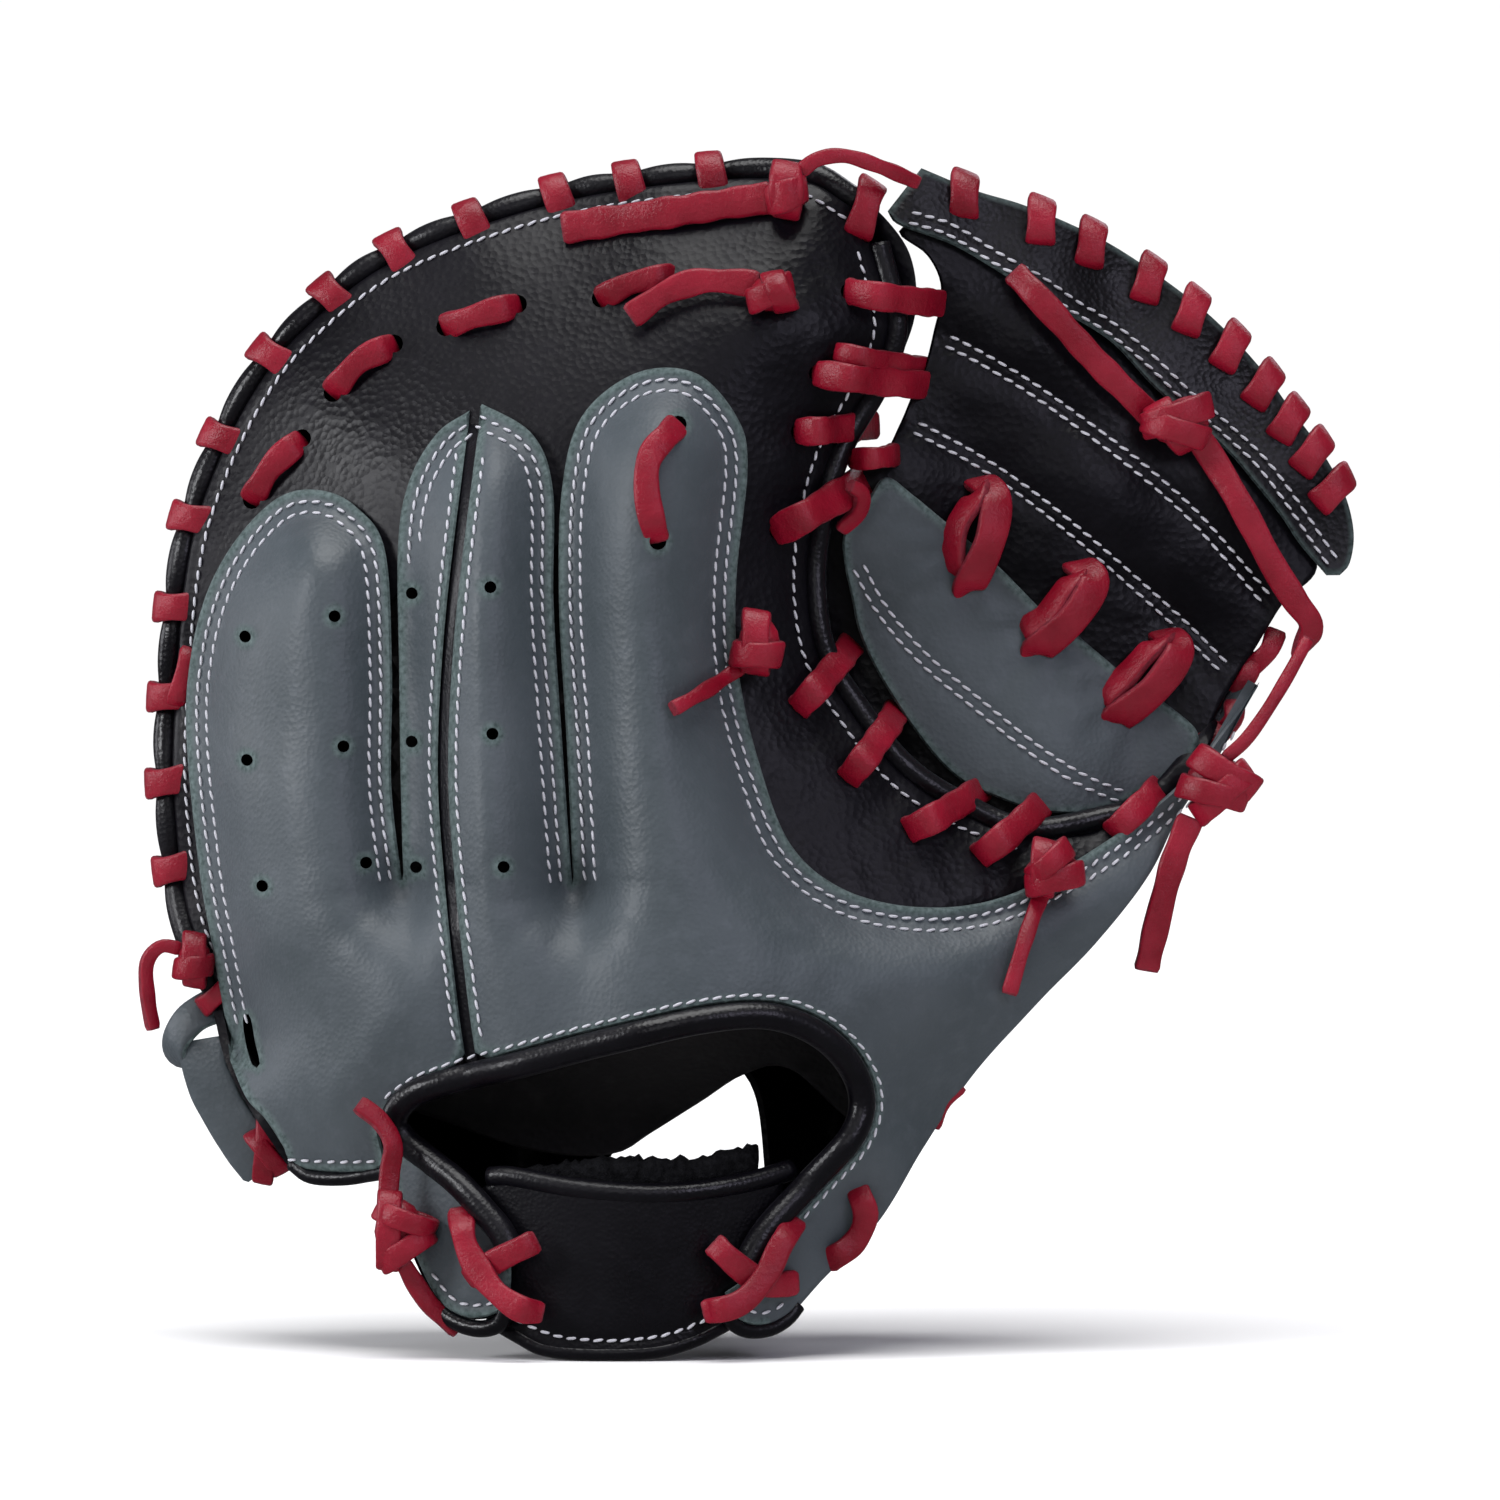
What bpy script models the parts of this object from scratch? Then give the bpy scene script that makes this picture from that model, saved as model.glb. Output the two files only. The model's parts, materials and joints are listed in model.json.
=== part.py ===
"""Left-hand baseball catcher's mitt, standing on its heel with the back of the hand towards -Y.

Metres, +Z up. Outlines and depths are written in millimetres and scaled by MM when a mesh is made.
The leather, padding and lacing follow a few depth fields: y as a function of (x, z), +Y being the
palm side. The mitt folds about one slanting line, so pieces that cross it are cut there.
"""
import math

import bmesh
import bpy
from mathutils import Vector
from mathutils.geometry import delaunay_2d_cdt

MM = 0.001

# Driving dimensions, millimetres
LEATHER = 2.6            # leather thickness
LAYER_GAP = 1.2          # space between two stacked layers
LACE_WIDTH = 6.2
LACE_THICK = 2.6
ROLL_RADIUS = 2.7        # rolled edge binding
LACE_PITCH = 19.0        # spacing of the wraps round the edge
PAD_RISE = 45.0          # how far the padded rim stands out on the palm side
BACK_RISE = 40.0         # how far the back of the hand stands out from the rim
STALL_RISE = 9.0         # how far a finger stall stands out from the shell
HAND_SPACE = 15.0        # depth of the hand cavity over the fingers
SIDE_SHIFT = -1.7        # moves the whole mitt so that its box is centred on x = 0
DEPTH_SHIFT = 5.2        # and on y = 0
GRID = 11.0              # spacing of the points inside a panel
FOLD_GAP = 1.5           # half the space left along the fold between two layers of the back
WEB_FOLD_GAP = 4.0       # the same in the web, which closes further
PALM_FOLD_GAP = 11.5     # and on the palm, which the fold strip bridges
PAD_FOLD_GAP = 16.0      # and in the padding below it
PAD_CLEAR = 4.8          # how far inside the palm's steep rim its padding keeps
LACE_REST = 0.5          # space between a lace and the leather it lies on

FOLD_LOW = (-11.0, -46.0, 11.0)      # hinge line, heel end
FOLD_HIGH = (99.0, 12.0, 229.0)      # hinge line, web end

GREY = (0.118, 0.137, 0.144)
BLACK = (0.012, 0.011, 0.014)
RED = (0.30, 0.008, 0.026)
FELT = (0.55, 0.52, 0.45)
FLEECE = (0.02, 0.02, 0.022)

# Outlines in millimetres, (x, z), seen from the back of the hand
RIM = [(-116, 70), (-122, 78), (-129, 95), (-132, 120), (-132, 140), (-129.5, 170), (-124.5, 190),
       (-114, 212), (-101, 228), (-80, 243.5), (-47, 255.5), (-15, 261), (12, 261.5), (25, 255)]
INNER_EDGE = [(31, 244), (35, 226), (31, 212), (23, 198), (19, 186), (17, 170), (19, 155), (26, 143),
              (36, 130.5), (48, 122.5), (62, 117), (82, 120)]
THUMB_EDGE = [(113, 145), (104, 130), (95, 117), (88, 104), (76, 89), (63, 76), (50, 62), (38, 45),
              (28, 29), (16, 17), (9, 11)]
HEEL_EDGE = [(-3, 9), (-12, 3), (-30, 0), (-46, 3), (-60, 9), (-72, 20), (-82, 38), (-100, 40),
             (-110, 53)]
ENVELOPE = RIM + INNER_EDGE + THUMB_EDGE + HEEL_EDGE

# The sewn edge of the grey leather: little finger, slit, ring and middle, slit, index, crotch
SEWN_EDGE = [(-116, 70), (-119, 88), (-122, 105), (-125, 135), (-124, 152), (-120, 167), (-113, 179),
             (-104, 187.5), (-95, 189), (-87, 185.5), (-80.5, 176), (-78.7, 150), (-78.7, 125),
             (-76.5, 104), (-77.3, 125), (-77.5, 150), (-78, 178), (-76, 190), (-70, 201),
             (-58, 208.5), (-47, 201), (-43.5, 190), (-43.5, 165), (-41.5, 135), (-39, 104),
             (-40, 135), (-41.8, 165), (-41, 190), (-37, 206), (-25, 215.5), (-12, 215.5),
             (-3, 206), (-0.5, 195), (-3, 170), (-2.5, 150), (2, 130), (9, 112), (21, 102),
             (38, 98), (56, 100), (76, 110), (94, 123), (106, 137), (113, 146)]
WELT = [(-60.5, 205), (-62, 195), (-66, 160), (-67.5, 130), (-66, 105), (-63, 78), (-61.3, 68)]
OPENING = [(-78, 53), (-70, 58.5), (-50, 65), (-30, 70.5), (-10, 75), (5, 75.5), (17, 70), (24, 60),
           (23, 50), (13, 38.5), (4, 29), (-1, 21)]
TAB_EDGE = [(-52.5, 17), (-53, 23), (-56, 29), (-64, 38.5), (-73, 45)]
THUMB_TOP = [(78, 116), (90, 115)]
PALM_NOTCH = [(7, 13), (3, 18), (2, 38), (0, 54), (-5, 60), (-14, 56), (-25, 46), (-31, 36), (-32, 4)]
PALM_HEEL = [(-34, -4), (-42, -6), (-52, -3), (-62, 8), (-71, 20), (-80, 36), (-98, 43), (-108, 55)]

WEB_MAIN = [(33, 246), (41, 238), (42, 229), (37, 212), (30, 194), (30, 180), (38, 168), (60, 150),
            (84, 134), (98, 134), (108, 147), (115, 158), (125, 170), (118, 190), (104, 206),
            (84, 224), (56, 242), (40, 250)]
WEB_LOWER = [(30, 190), (23, 178), (25, 160), (33, 145), (45, 130), (60, 122), (78, 121), (93, 126),
             (98, 134), (84, 147), (65, 162), (48, 177), (36, 187)]
WEB_BAND = [(38, 258.5), (60, 250), (80, 241), (100, 227), (115, 211), (127, 195), (133, 180),
            (131, 172), (127, 170.5), (118, 183), (105, 198), (90, 211), (70, 228), (50, 239),
            (33, 247)]

# Depth of the mitt's edge, (x, z, y): the back shell's edge, then the palm's where it differs
EDGE_DEPTHS = [(-120, 75, 2), (-132, 110, 10), (-131, 150, 16), (-118, 204, 20), (-88, 239, 20),
               (-47, 255, 16), (-8, 261, 10), (26, 253, 2), (32, 220, -4), (17, 180, -10),
               (20, 155, -14), (36, 131, -16), (62, 118, -13), (82, 121, -7), (113, 145, 12),
               (95, 117, 5), (76, 89, -2), (50, 62, -12), (28, 29, -26), (9, 11, -34),
               (-30, 0, -36), (-60, 8, -34), (-80, 38, -20), (-104, 47, -6)]
PALM_DEPTHS = [(-120, 75, 6), (-132, 110, 14), (-131, 150, 20), (-118, 204, 24), (-88, 239, 24),
               (-47, 255, 20), (-8, 261, 14), (26, 253, 6), (32, 220, 2), (17, 180, -2),
               (20, 155, -4), (36, 131, -5), (62, 118, -4), (82, 121, 0), (113, 145, 16),
               (95, 117, 10), (76, 89, 4), (50, 62, 2), (28, 29, 4), (9, 11, 6),
               (-44, 2, 8), (-60, 8, 6), (-80, 38, 0), (-104, 47, 0), (-10, 55, 6)]
WEB_DEPTHS = [(24, 190, -3), (38, 240, 6), (60, 122, -4), (98, 132, 6), (116, 160, 13),
              (134, 180, 22), (115, 213, 24), (88, 238, 23), (55, 256, 16), (75, 185, 2),
              (60, 215, 5), (100, 180, 9)]
POCKET = (5.0, 140.0)


# ---------------------------------------------------------------- curves and distances
def bend_through(points, step, closed=False):
    """Points every `step` mm along a Catmull-Rom curve through `points`."""
    count = len(points)
    spans = count if closed else count - 1
    result = []
    for i in range(spans):
        if closed:
            a, b, c, d = (Vector(points[(i + k - 1) % count]) for k in range(4))
        else:
            a, b, c, d = (Vector(points[min(max(i + k - 1, 0), count - 1)]) for k in range(4))
        pieces = max(1, round((c - b).length / step))
        for j in range(pieces):
            t = j / pieces
            result.append(0.5 * ((2 * b) + (c - a) * t + (2 * a - 5 * b + 4 * c - d) * t * t
                                 + (3 * b - 3 * c + d - a) * t ** 3))
    if not closed:
        result.append(Vector(points[-1]))
    return [tuple(p) for p in result]


def distance_to(path, x, z, closed=False):
    """Distance in mm from (x, z) to a chain of points."""
    best = 1e9
    ends = path[1:] + path[:1] if closed else path[1:]
    for (ax, az), (bx, bz) in zip(path, ends):
        dx, dz = bx - ax, bz - az
        length = dx * dx + dz * dz or 1e-9
        t = min(1.0, max(0.0, ((x - ax) * dx + (z - az) * dz) / length))
        best = min(best, math.hypot(x - ax - t * dx, z - az - t * dz))
    return best


def inside(loop, x, z):
    odd = False
    for (ax, az), (bx, bz) in zip(loop, loop[1:] + loop[:1]):
        if (az > z) != (bz > z) and x < (bx - ax) * (z - az) / (bz - az) + ax:
            odd = not odd
    return odd


def inset(loop, amount):
    """A closed loop moved inwards by `amount` mm, without the points that would cross over."""
    count = len(loop)
    area = sum(loop[i - 1][0] * loop[i][1] - loop[i][0] * loop[i - 1][1] for i in range(count))
    turn = 1.0 if area > 0 else -1.0
    moved = []
    for i in range(count):
        before, after = Vector(loop[i - 1]), Vector(loop[(i + 1) % count])
        along = (after - before).normalized()
        moved.append((loop[i][0] - along.y * turn * amount, loop[i][1] + along.x * turn * amount))
    return [p for p in moved if distance_to(loop, *p, closed=True) > 0.88 * abs(amount)]


def past_fold(x, z):
    """Signed distance in mm from the fold line, positive on the thumb side."""
    along = Vector((FOLD_HIGH[0] - FOLD_LOW[0], FOLD_HIGH[2] - FOLD_LOW[2])).normalized()
    return (x - FOLD_LOW[0]) * along.y - (z - FOLD_LOW[2]) * along.x


def cut_at_fold(loop, side, gap):
    """The part of a loop on one side of the fold: side -1 keeps the fingers, +1 the thumb."""
    kept = []
    for p, q in zip(loop, loop[1:] + loop[:1]):
        a = side * past_fold(*p) - gap
        b = side * past_fold(*q) - gap
        if a >= 0:
            kept.append(p)
        if (a >= 0) != (b >= 0):
            t = a / (a - b)
            kept.append((p[0] + (q[0] - p[0]) * t, p[1] + (q[1] - p[1]) * t))
    return kept


def divided(loop, longest):
    """A closed loop with points added so that no side is much longer than `longest` mm."""
    result = []
    for (ax, az), (bx, bz) in zip(loop, loop[1:] + loop[:1]):
        pieces = max(1, round(math.hypot(bx - ax, bz - az) / longest))
        result += [(ax + (bx - ax) * i / pieces, az + (bz - az) * i / pieces) for i in range(pieces)]
    return result


def ramp(value, low, high):
    t = min(1.0, max(0.0, (value - low) / (high - low)))
    return t * t * (3 - 2 * t)


def field(samples, softness=12.0):
    """A smooth function of (x, z) that passes near the (x, z, y) samples."""
    def depth(x, z):
        total = weight = 0.0
        for sx, sz, sy in samples:
            w = ((x - sx) ** 2 + (z - sz) ** 2 + softness ** 2) ** -1.5
            total += w * sy
            weight += w
        return total / weight
    return depth


# ---------------------------------------------------------------- depth fields
edge_depth = field(EDGE_DEPTHS)
palm_edge_depth = field(PALM_DEPTHS)
web = field(WEB_DEPTHS)
ENVELOPE_LINE = bend_through(ENVELOPE, 14, closed=True)
SEWN_LINE = bend_through(SEWN_EDGE, 9)
HAND_REGION = SEWN_EDGE + THUMB_EDGE[1:] + HEEL_EDGE
PALM_OUTLINE = RIM[1:] + INNER_EDGE[:-1] + THUMB_TOP + THUMB_EDGE[3:-1] + PALM_NOTCH + PALM_HEEL
PALM_LINE = inset(bend_through(PALM_OUTLINE, 12, closed=True), 6.2)


def shell(x, z):
    """Outer face of the black back shell."""
    reach = distance_to(ENVELOPE_LINE, x, z, closed=True)
    return edge_depth(x, z) - BACK_RISE * (1 - math.exp(-reach / 38))


def strap(x, z):
    """Outer face of the wrist strap, bowed away from the wrist."""
    return -46 - 18 * (1 - ((x + 28) / 44) ** 2)


def grey(x, z):
    """Outer face of the grey leather over the fingers, hand and thumb."""
    stall = STALL_RISE * (1 - math.exp(-distance_to(SEWN_LINE, x, z) / 6))
    over_shell = shell(x, z) - LEATHER - LAYER_GAP - stall
    heel = ramp(x, -92, -76) * ramp(-z, -52, -34) * ramp(-x, -34, -14)
    return over_shell * (1 - heel) + (strap(x, z) - LEATHER - LAYER_GAP) * heel


def hand_floor(x, z):
    """Palm side of the hand cavity, where the lining lies."""
    reach = distance_to(SEWN_LINE, x, z) if inside(HAND_REGION, x, z) else 0
    over_fingers = shell(x, z) + LEATHER + LAYER_GAP + HAND_SPACE * (1 - math.exp(-reach / 10))
    heel = ramp(x, -95, -70) * ramp(-z, -85, -48) * ramp(-x, -45, -15)
    return over_fingers * (1 - heel) + -6 * heel


def palm(x, z):
    """Outer face of the palm: a padded rim that falls into the pocket."""
    reach = distance_to(PALM_LINE, x, z, closed=True)
    rim = palm_edge_depth(x, z) + PAD_RISE * (1 - math.exp(-reach / 9))
    pocket = 3 + 60 * ((x - POCKET[0]) ** 2 + (z - POCKET[1]) ** 2) / 95 ** 2
    return -5 * math.log(math.exp(-rim / 5) + math.exp(-pocket / 5))


# ---------------------------------------------------------------- mesh builders
parts = bpy.data.collections.new("catchers_mitt")
welded = bpy.data.collections.new("welded_pieces")


def material(name, colour, roughness):
    made = bpy.data.materials.new(name)
    made.use_nodes = True
    shader = made.node_tree.nodes["Principled BSDF"]
    shader.inputs["Base Color"].default_value = (*colour, 1)
    shader.inputs["Roughness"].default_value = roughness
    shader.inputs["Metallic"].default_value = 0
    return made


def add_object(name, data, colour, roughness=0.5):
    obj = bpy.data.objects.new(name, data)
    data.materials.append(material(name, colour, roughness))
    parts.objects.link(obj)
    return obj


def weld(base, *others):
    """Joins pieces that overlap `base` into it as one solid."""
    for other in others:
        union = base.modifiers.new("weld", "BOOLEAN")
        union.operation = "UNION"
        union.solver = "EXACT"
        union.object = other
        other.hide_render = True
        other.display_type = "WIRE"
        parts.objects.unlink(other)
        welded.objects.link(other)


def add_mesh(name, bm, colour, roughness=0.5):
    bmesh.ops.triangulate(bm, faces=bm.faces)
    bmesh.ops.recalc_face_normals(bm, faces=bm.faces)
    mesh = bpy.data.meshes.new(name)
    bm.to_mesh(mesh)
    bm.free()
    return add_object(name, mesh, colour, roughness)


def at(x, y, z):
    return Vector((x + SIDE_SHIFT, y + DEPTH_SHIFT, z)) * MM


def thicken(bm, back):
    """Extrudes every face to the depth `back`(x, z)."""
    grown = bmesh.ops.extrude_face_region(bm, geom=bm.faces[:])
    for vert in grown["geom"]:
        if isinstance(vert, bmesh.types.BMVert):
            x, z = vert.co.x / MM - SIDE_SHIFT, vert.co.z / MM
            vert.co = at(x, back(x, z), z)


def panel(name, loop, front, back, colour, roughness=0.5, rings=()):
    """A sheet or pad between two depth fields, filled from its outline and a lattice of points.

    `rings` are loops of points that follow a steep edge.
    """
    loop = divided(loop, GRID)
    points = [Vector(p) for p in loop]
    fine = [p for ring in rings for p in ring
            if inside(loop, *p) and distance_to(loop, *p, closed=True) > 1.5]
    points += [Vector(p) for p in fine]
    xs = [p.x for p in points]
    zs = [p.y for p in points]
    rows = int((max(zs) - min(zs)) / (GRID * 0.87)) + 1
    columns = int((max(xs) - min(xs)) / GRID) + 2
    for row in range(rows):
        for column in range(columns):
            x = min(xs) + GRID * (column + 0.5 * (row % 2))
            z = min(zs) + GRID * 0.87 * row
            if not inside(loop, x, z) or distance_to(loop, x, z, closed=True) < 0.45 * GRID:
                continue
            if all(math.hypot(x - p[0], z - p[1]) > 0.5 * GRID for p in fine):
                points.append(Vector((x, z)))
    edge_count = len(loop)
    border = [(i, (i + 1) % edge_count) for i in range(edge_count)]
    made = delaunay_2d_cdt(points, border, [list(range(edge_count))], 1, 1e-6)
    bm = bmesh.new()
    verts = [bm.verts.new(at(p.x, front(p.x, p.y), p.y)) for p in made[0]]
    for face in made[2]:
        bm.faces.new([verts[i] for i in face])
    thicken(bm, back)
    add_mesh(name, bm, colour, roughness)


def sheet(name, loop, depth, colour, thickness=LEATHER, rings=()):
    panel(name, loop, depth, lambda x, z: depth(x, z) + thickness, colour, rings=rings)


def ribbon(name, path, colour=RED, width=LACE_WIDTH, thickness=LACE_THICK, surface=None, step=5.0):
    """A flat lace along (x, z) points lying on `surface`, or along (x, y, z) points in the air."""
    line = bend_through(path, step)
    flat = [(p[0], p[-1]) for p in line]
    bm = bmesh.new()
    rows = []
    for i, (x, z) in enumerate(flat):
        before, after = flat[max(i - 1, 0)], flat[min(i + 1, len(flat) - 1)]
        across = Vector((before[1] - after[1], after[0] - before[0])).normalized() * width / 2
        row = []
        for side in (-1, 1):
            px, pz = x + side * across.x, z + side * across.y
            y = surface(px, pz) - thickness - LACE_REST if surface else line[i][1]
            row.append(bm.verts.new(at(px, y, pz)))
        rows.append(row)
    for low, high in zip(rows, rows[1:]):
        bm.faces.new((low[0], low[1], high[1], high[0]))
    front = {(round(v.co.x, 6), round(v.co.z, 6)): v.co.y for v in bm.verts}
    grown = bmesh.ops.extrude_face_region(bm, geom=bm.faces[:])
    for vert in grown["geom"]:
        if isinstance(vert, bmesh.types.BMVert):
            vert.co.y = front[(round(vert.co.x, 6), round(vert.co.z, 6))] + thickness * MM
    return add_mesh(name, bm, colour)


def tube(name, path, radius, colour, sides=2):
    """A round binding or cord along (x, y, z) points."""
    curve = bpy.data.curves.new(name, "CURVE")
    curve.dimensions = "3D"
    curve.bevel_depth = radius * MM
    curve.bevel_resolution = sides
    curve.use_fill_caps = True
    spline = curve.splines.new("POLY")
    spline.points.add(len(path) - 1)
    for point, (x, y, z) in zip(spline.points, path):
        point.co = (*at(x, y, z), 1)
    add_object(name, curve, colour, 0.4)


def knot(name, centre, size, tilt=0.0):
    """A tied knot as a rounded lump: `size` is its width, depth and height."""
    bm = bmesh.new()
    bmesh.ops.create_icosphere(bm, subdivisions=2, radius=0.5)
    bmesh.ops.scale(bm, vec=[s * MM for s in size], verts=bm.verts)
    obj = add_mesh(name, bm, RED)
    obj.location = at(*centre)
    obj.rotation_euler.y = tilt
    return obj


def on_edge(path, drop):
    """(x, y, z) points of a binding that runs along an edge of the mitt."""
    return [(x, edge_depth(x, z) + drop, z) for x, z in path]


def split_path(path, side, gap):
    return [p for p in path if side * past_fold(p[0], p[-1]) > gap]


def whip_lace(name, path, depth, out, reach, pitch=LACE_PITCH):
    """One lace that crosses over an edge at every pitch and runs behind it in between.

    `out` is how far the lace stands outside the path, and `reach` how far it wraps in depth.
    """
    line = bend_through(path, 1.0)
    points = []
    side = -1
    distance = 0.0
    mark = pitch / 2
    for i in range(1, len(line) - 1):
        distance += (Vector(line[i]) - Vector(line[i - 1])).length
        if distance < mark:
            continue
        mark += pitch
        x, z = line[i]
        along = (Vector(line[i + 1]) - Vector(line[i - 1])).normalized()
        away = Vector((-along.y, along.x))
        y = depth(x, z)
        for turn in (-1.0, -0.5, 0.5, 1.0):
            swing = side * turn
            lift = out * (1 - 0.45 * abs(swing))
            slide = 2.0 * turn
            points.append((x + away.x * lift + along.x * slide, y + swing * reach,
                           z + away.y * lift + along.y * slide))
        side = -side
    tube(name, points, LACE_THICK / 2, RED, sides=1)


# ---------------------------------------------------------------- finger side
def inside_edge(points, amount, step=9):
    """An edge of the mitt, listed with the leather on its right, moved into the leather."""
    line = bend_through(points, step)
    moved = []
    for i, (x, z) in enumerate(line):
        along = Vector(line[min(i + 1, len(line) - 1)]) - Vector(line[max(i - 1, 0)])
        along.normalize()
        moved.append((x + along.y * amount, z - along.x * amount))
    return moved


def pad_top(x, z):
    """Palm side of the padding: below the lowest part of the palm leather near (x, z)."""
    turns = [math.radians(45 * k) for k in range(8)]
    around = [palm(x + PAD_CLEAR * math.cos(a), z + PAD_CLEAR * math.sin(a)) for a in turns]
    return min(around + [palm(x, z)]) - LEATHER - LAYER_GAP


def pad_floor(x, z):
    return min(hand_floor(x, z) + 2 * (LEATHER + LAYER_GAP), pad_top(x, z) - 2.5)


def make_palm():
    rings = [inset(PALM_LINE, amount) for amount in (3, 7, 11, 16)]
    for side, name in ((-1, "fingers"), (1, "thumb")):
        part = cut_at_fold(PALM_LINE, side, PALM_FOLD_GAP)
        sheet(f"palm_leather_{name}", part, lambda x, z: palm(x, z) - LEATHER, BLACK, rings=rings)
        part = cut_at_fold(rings[1], side, PAD_FOLD_GAP)
        panel(f"palm_padding_{name}", part, pad_floor, pad_top, FELT, 0.9, rings=rings[2:])


def make_fold_strip():
    half_width = PALM_FOLD_GAP - 0.5
    band = cut_at_fold(cut_at_fold(PALM_LINE, -1, -half_width), 1, -half_width)
    sheet("palm_fold_strip", band, lambda x, z: palm(x, z) - LEATHER, BLACK)


def make_shell():
    outer = inside_edge(RIM, ROLL_RADIUS * 2 + 0.8)
    inner_edge = inside_edge(INNER_EDGE, ROLL_RADIUS * 2 + 1.2)
    hidden = [(38, 92), (20, 95), (4, 104), (-6, 120), (-11, 150), (-10, 195), (-22, 206),
              (-34, 196), (-44, 176), (-56, 196), (-68, 190), (-80, 164), (-98, 177), (-112, 162),
              (-116, 135), (-112, 105), (-108, 80)]
    loop = outer + inner_edge + bend_through(hidden, 11)
    sheet("back_shell", cut_at_fold(loop, -1, FOLD_GAP), shell, BLACK)
    thumb = [(93, 123), (94, 116), (80, 105), (60, 93), (38, 91)]
    sheet("crotch_shell_thumb", cut_at_fold(inner_edge + thumb, 1, FOLD_GAP), shell, BLACK)


def make_back_leather():
    pinky = [p for p in bend_through(SEWN_EDGE[:20], 8) if p[0] < -61.5]
    centre = bend_through([(-63.2, 203), (-64.2, 192), (-68.3, 160), (-69.8, 130), (-68.3, 104),
                           (-65.4, 78), (-63.8, 66.5)], 10)
    lower = [(-72, 61.5), (-81, 57), (-84, 52), (-81, 43), (-100, 42), (-107, 52), (-113, 60)]
    sheet("back_leather_little_ring", pinky + centre + lower, grey, GREY)
    centre = [(-58.6, 67.8), (-60.6, 78), (-63.7, 104), (-65.2, 130), (-63.8, 160), (-59.8, 192),
              (-58.4, 204)]
    index = [p for p in bend_through(SEWN_EDGE[18:], 8) if p[0] > -57.5]
    below = bend_through([(113, 146)] + THUMB_EDGE[1:], 9)
    above_opening = inset(bend_through(OPENING, 7), -4.2)
    above_opening = [p for p in above_opening if p[0] > -57 and p[1] > 18][1:]
    loop = bend_through(centre, 10) + index + below + [(-1, 9.5), (-5, 15)] + above_opening[::-1]
    sheet("back_leather_middle_index", cut_at_fold(loop, -1, FOLD_GAP), grey, GREY)
    sheet("back_leather_thumb", cut_at_fold(loop, 1, FOLD_GAP), grey, GREY)
    ribbon("centre_welt", WELT, BLACK, 2.6, 2.0, lambda x, z: grey(x, z) + 3.0, 8.0)


def make_lining():
    hand = [(-108, 150), (-96, 172), (-84, 160), (-76, 172), (-60, 190), (-46, 178), (-38, 186),
            (-20, 200), (-9, 186), (-10, 150), (-4, 125), (6, 106), (30, 92), (56, 92), (70, 98),
            (74, 101), (69, 94), (58, 82), (40, 63), (26, 48), (6, 66), (-20, 56), (-62, 54),
            (-90, 64), (-101, 86), (-111, 115)]
    loop = bend_through(hand, 10, True)

    def floor(x, z):
        return hand_floor(x, z) + 0.6

    sheet("hand_lining_fingers", cut_at_fold(loop, -1, 6.0), floor, BLACK, 1.4)
    sheet("hand_lining_thumb", cut_at_fold(loop, 1, 6.0), floor, BLACK, 1.4)


def make_edges():
    tube("edge_binding_fingers", on_edge(inside_edge(RIM, ROLL_RADIUS), 0), ROLL_RADIUS, BLACK)
    centre = inside_edge(INNER_EDGE, ROLL_RADIUS)
    tube("crotch_binding_fingers", on_edge(split_path(centre, -1, 2.5), -2), ROLL_RADIUS, BLACK)
    tube("crotch_binding_thumb", on_edge(split_path(centre, 1, 2.5), -2), ROLL_RADIUS, BLACK)
    whip_lace("edge_lace_fingers", inside_edge(RIM, ROLL_RADIUS), edge_depth,
              ROLL_RADIUS + 2.3, ROLL_RADIUS + 2.0)
    line = [(x, palm_edge_depth(x, z) + 4, z) for x, z in bend_through(THUMB_EDGE[1:-1], 9)]
    tube("thumb_edge_binding", [(x - 2.4, y, z + 2.4) for x, y, z in line], 2.2, BLACK)


def make_wrist():
    opening = bend_through(TAB_EDGE + OPENING, 6)
    rolls = [(x, grey(x, z) + 0.6, z) for x, z in opening]
    tube("opening_binding_fingers", split_path(rolls, -1, 2.8), 2.4, BLACK)
    tube("opening_binding_thumb", split_path(rolls[:-1], 1, 2.8), 2.4, BLACK)
    lobe = [(-80, 41), (-78.5, 46), (-74, 41.5), (-66.5, 36), (-59, 28.5), (-56, 22), (-57, 12.5),
            (-64, 10.5), (-72, 20)]
    sheet("heel_tab_little", lobe, lambda x, z: strap(x, z) - 4.4, GREY)
    band = [(-66, 28), (-56, 39), (-40, 38), (-30, 37), (-12, 37.5), (2, 38), (-4, 24), (-9, 12),
            (-12, 4), (-20, 0), (-40, 0), (-48, 3), (-56, 9), (-66, 22)]
    sheet("wrist_strap", band, strap, BLACK)
    pad = [(-56, 40), (-40, 42), (-25, 44), (-12, 43.5), (-2, 45), (-4, 24), (-12, 10), (-30, 6),
           (-46, 8), (-58, 18)]
    sheet("strap_fleece_pad", bend_through(pad, 9, True), lambda x, z: strap(x, z) + 3.6, FLEECE, 7.0)


def make_heel_laces():
    def over(x, z):
        return strap(x, z) - 4.8 - ROLL_RADIUS

    def crossing(x, z):
        return over(x, z) - 1.6

    weld(ribbon("strap_lace_little", [(-62, 17), (-55, 22), (-48, 26)], surface=over),
         ribbon("strap_lace_little_over", [(-66, 33), (-62.5, 25), (-57, 15), (-47, 11)],
                surface=crossing, width=5.5))
    weld(ribbon("strap_lace_thumb", [(-7, 25), (-1, 20), (9, 16.5)], surface=over, width=5.5),
         ribbon("strap_lace_thumb_over", [(-9, 12), (1, 16), (6, 23), (10, 29)],
                surface=crossing, width=5.5))
    ribbon("thumb_heel_lace", [(23, 36), (25.5, 30), (23, 25), (17.5, 21.5)], surface=grey, width=5)


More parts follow.
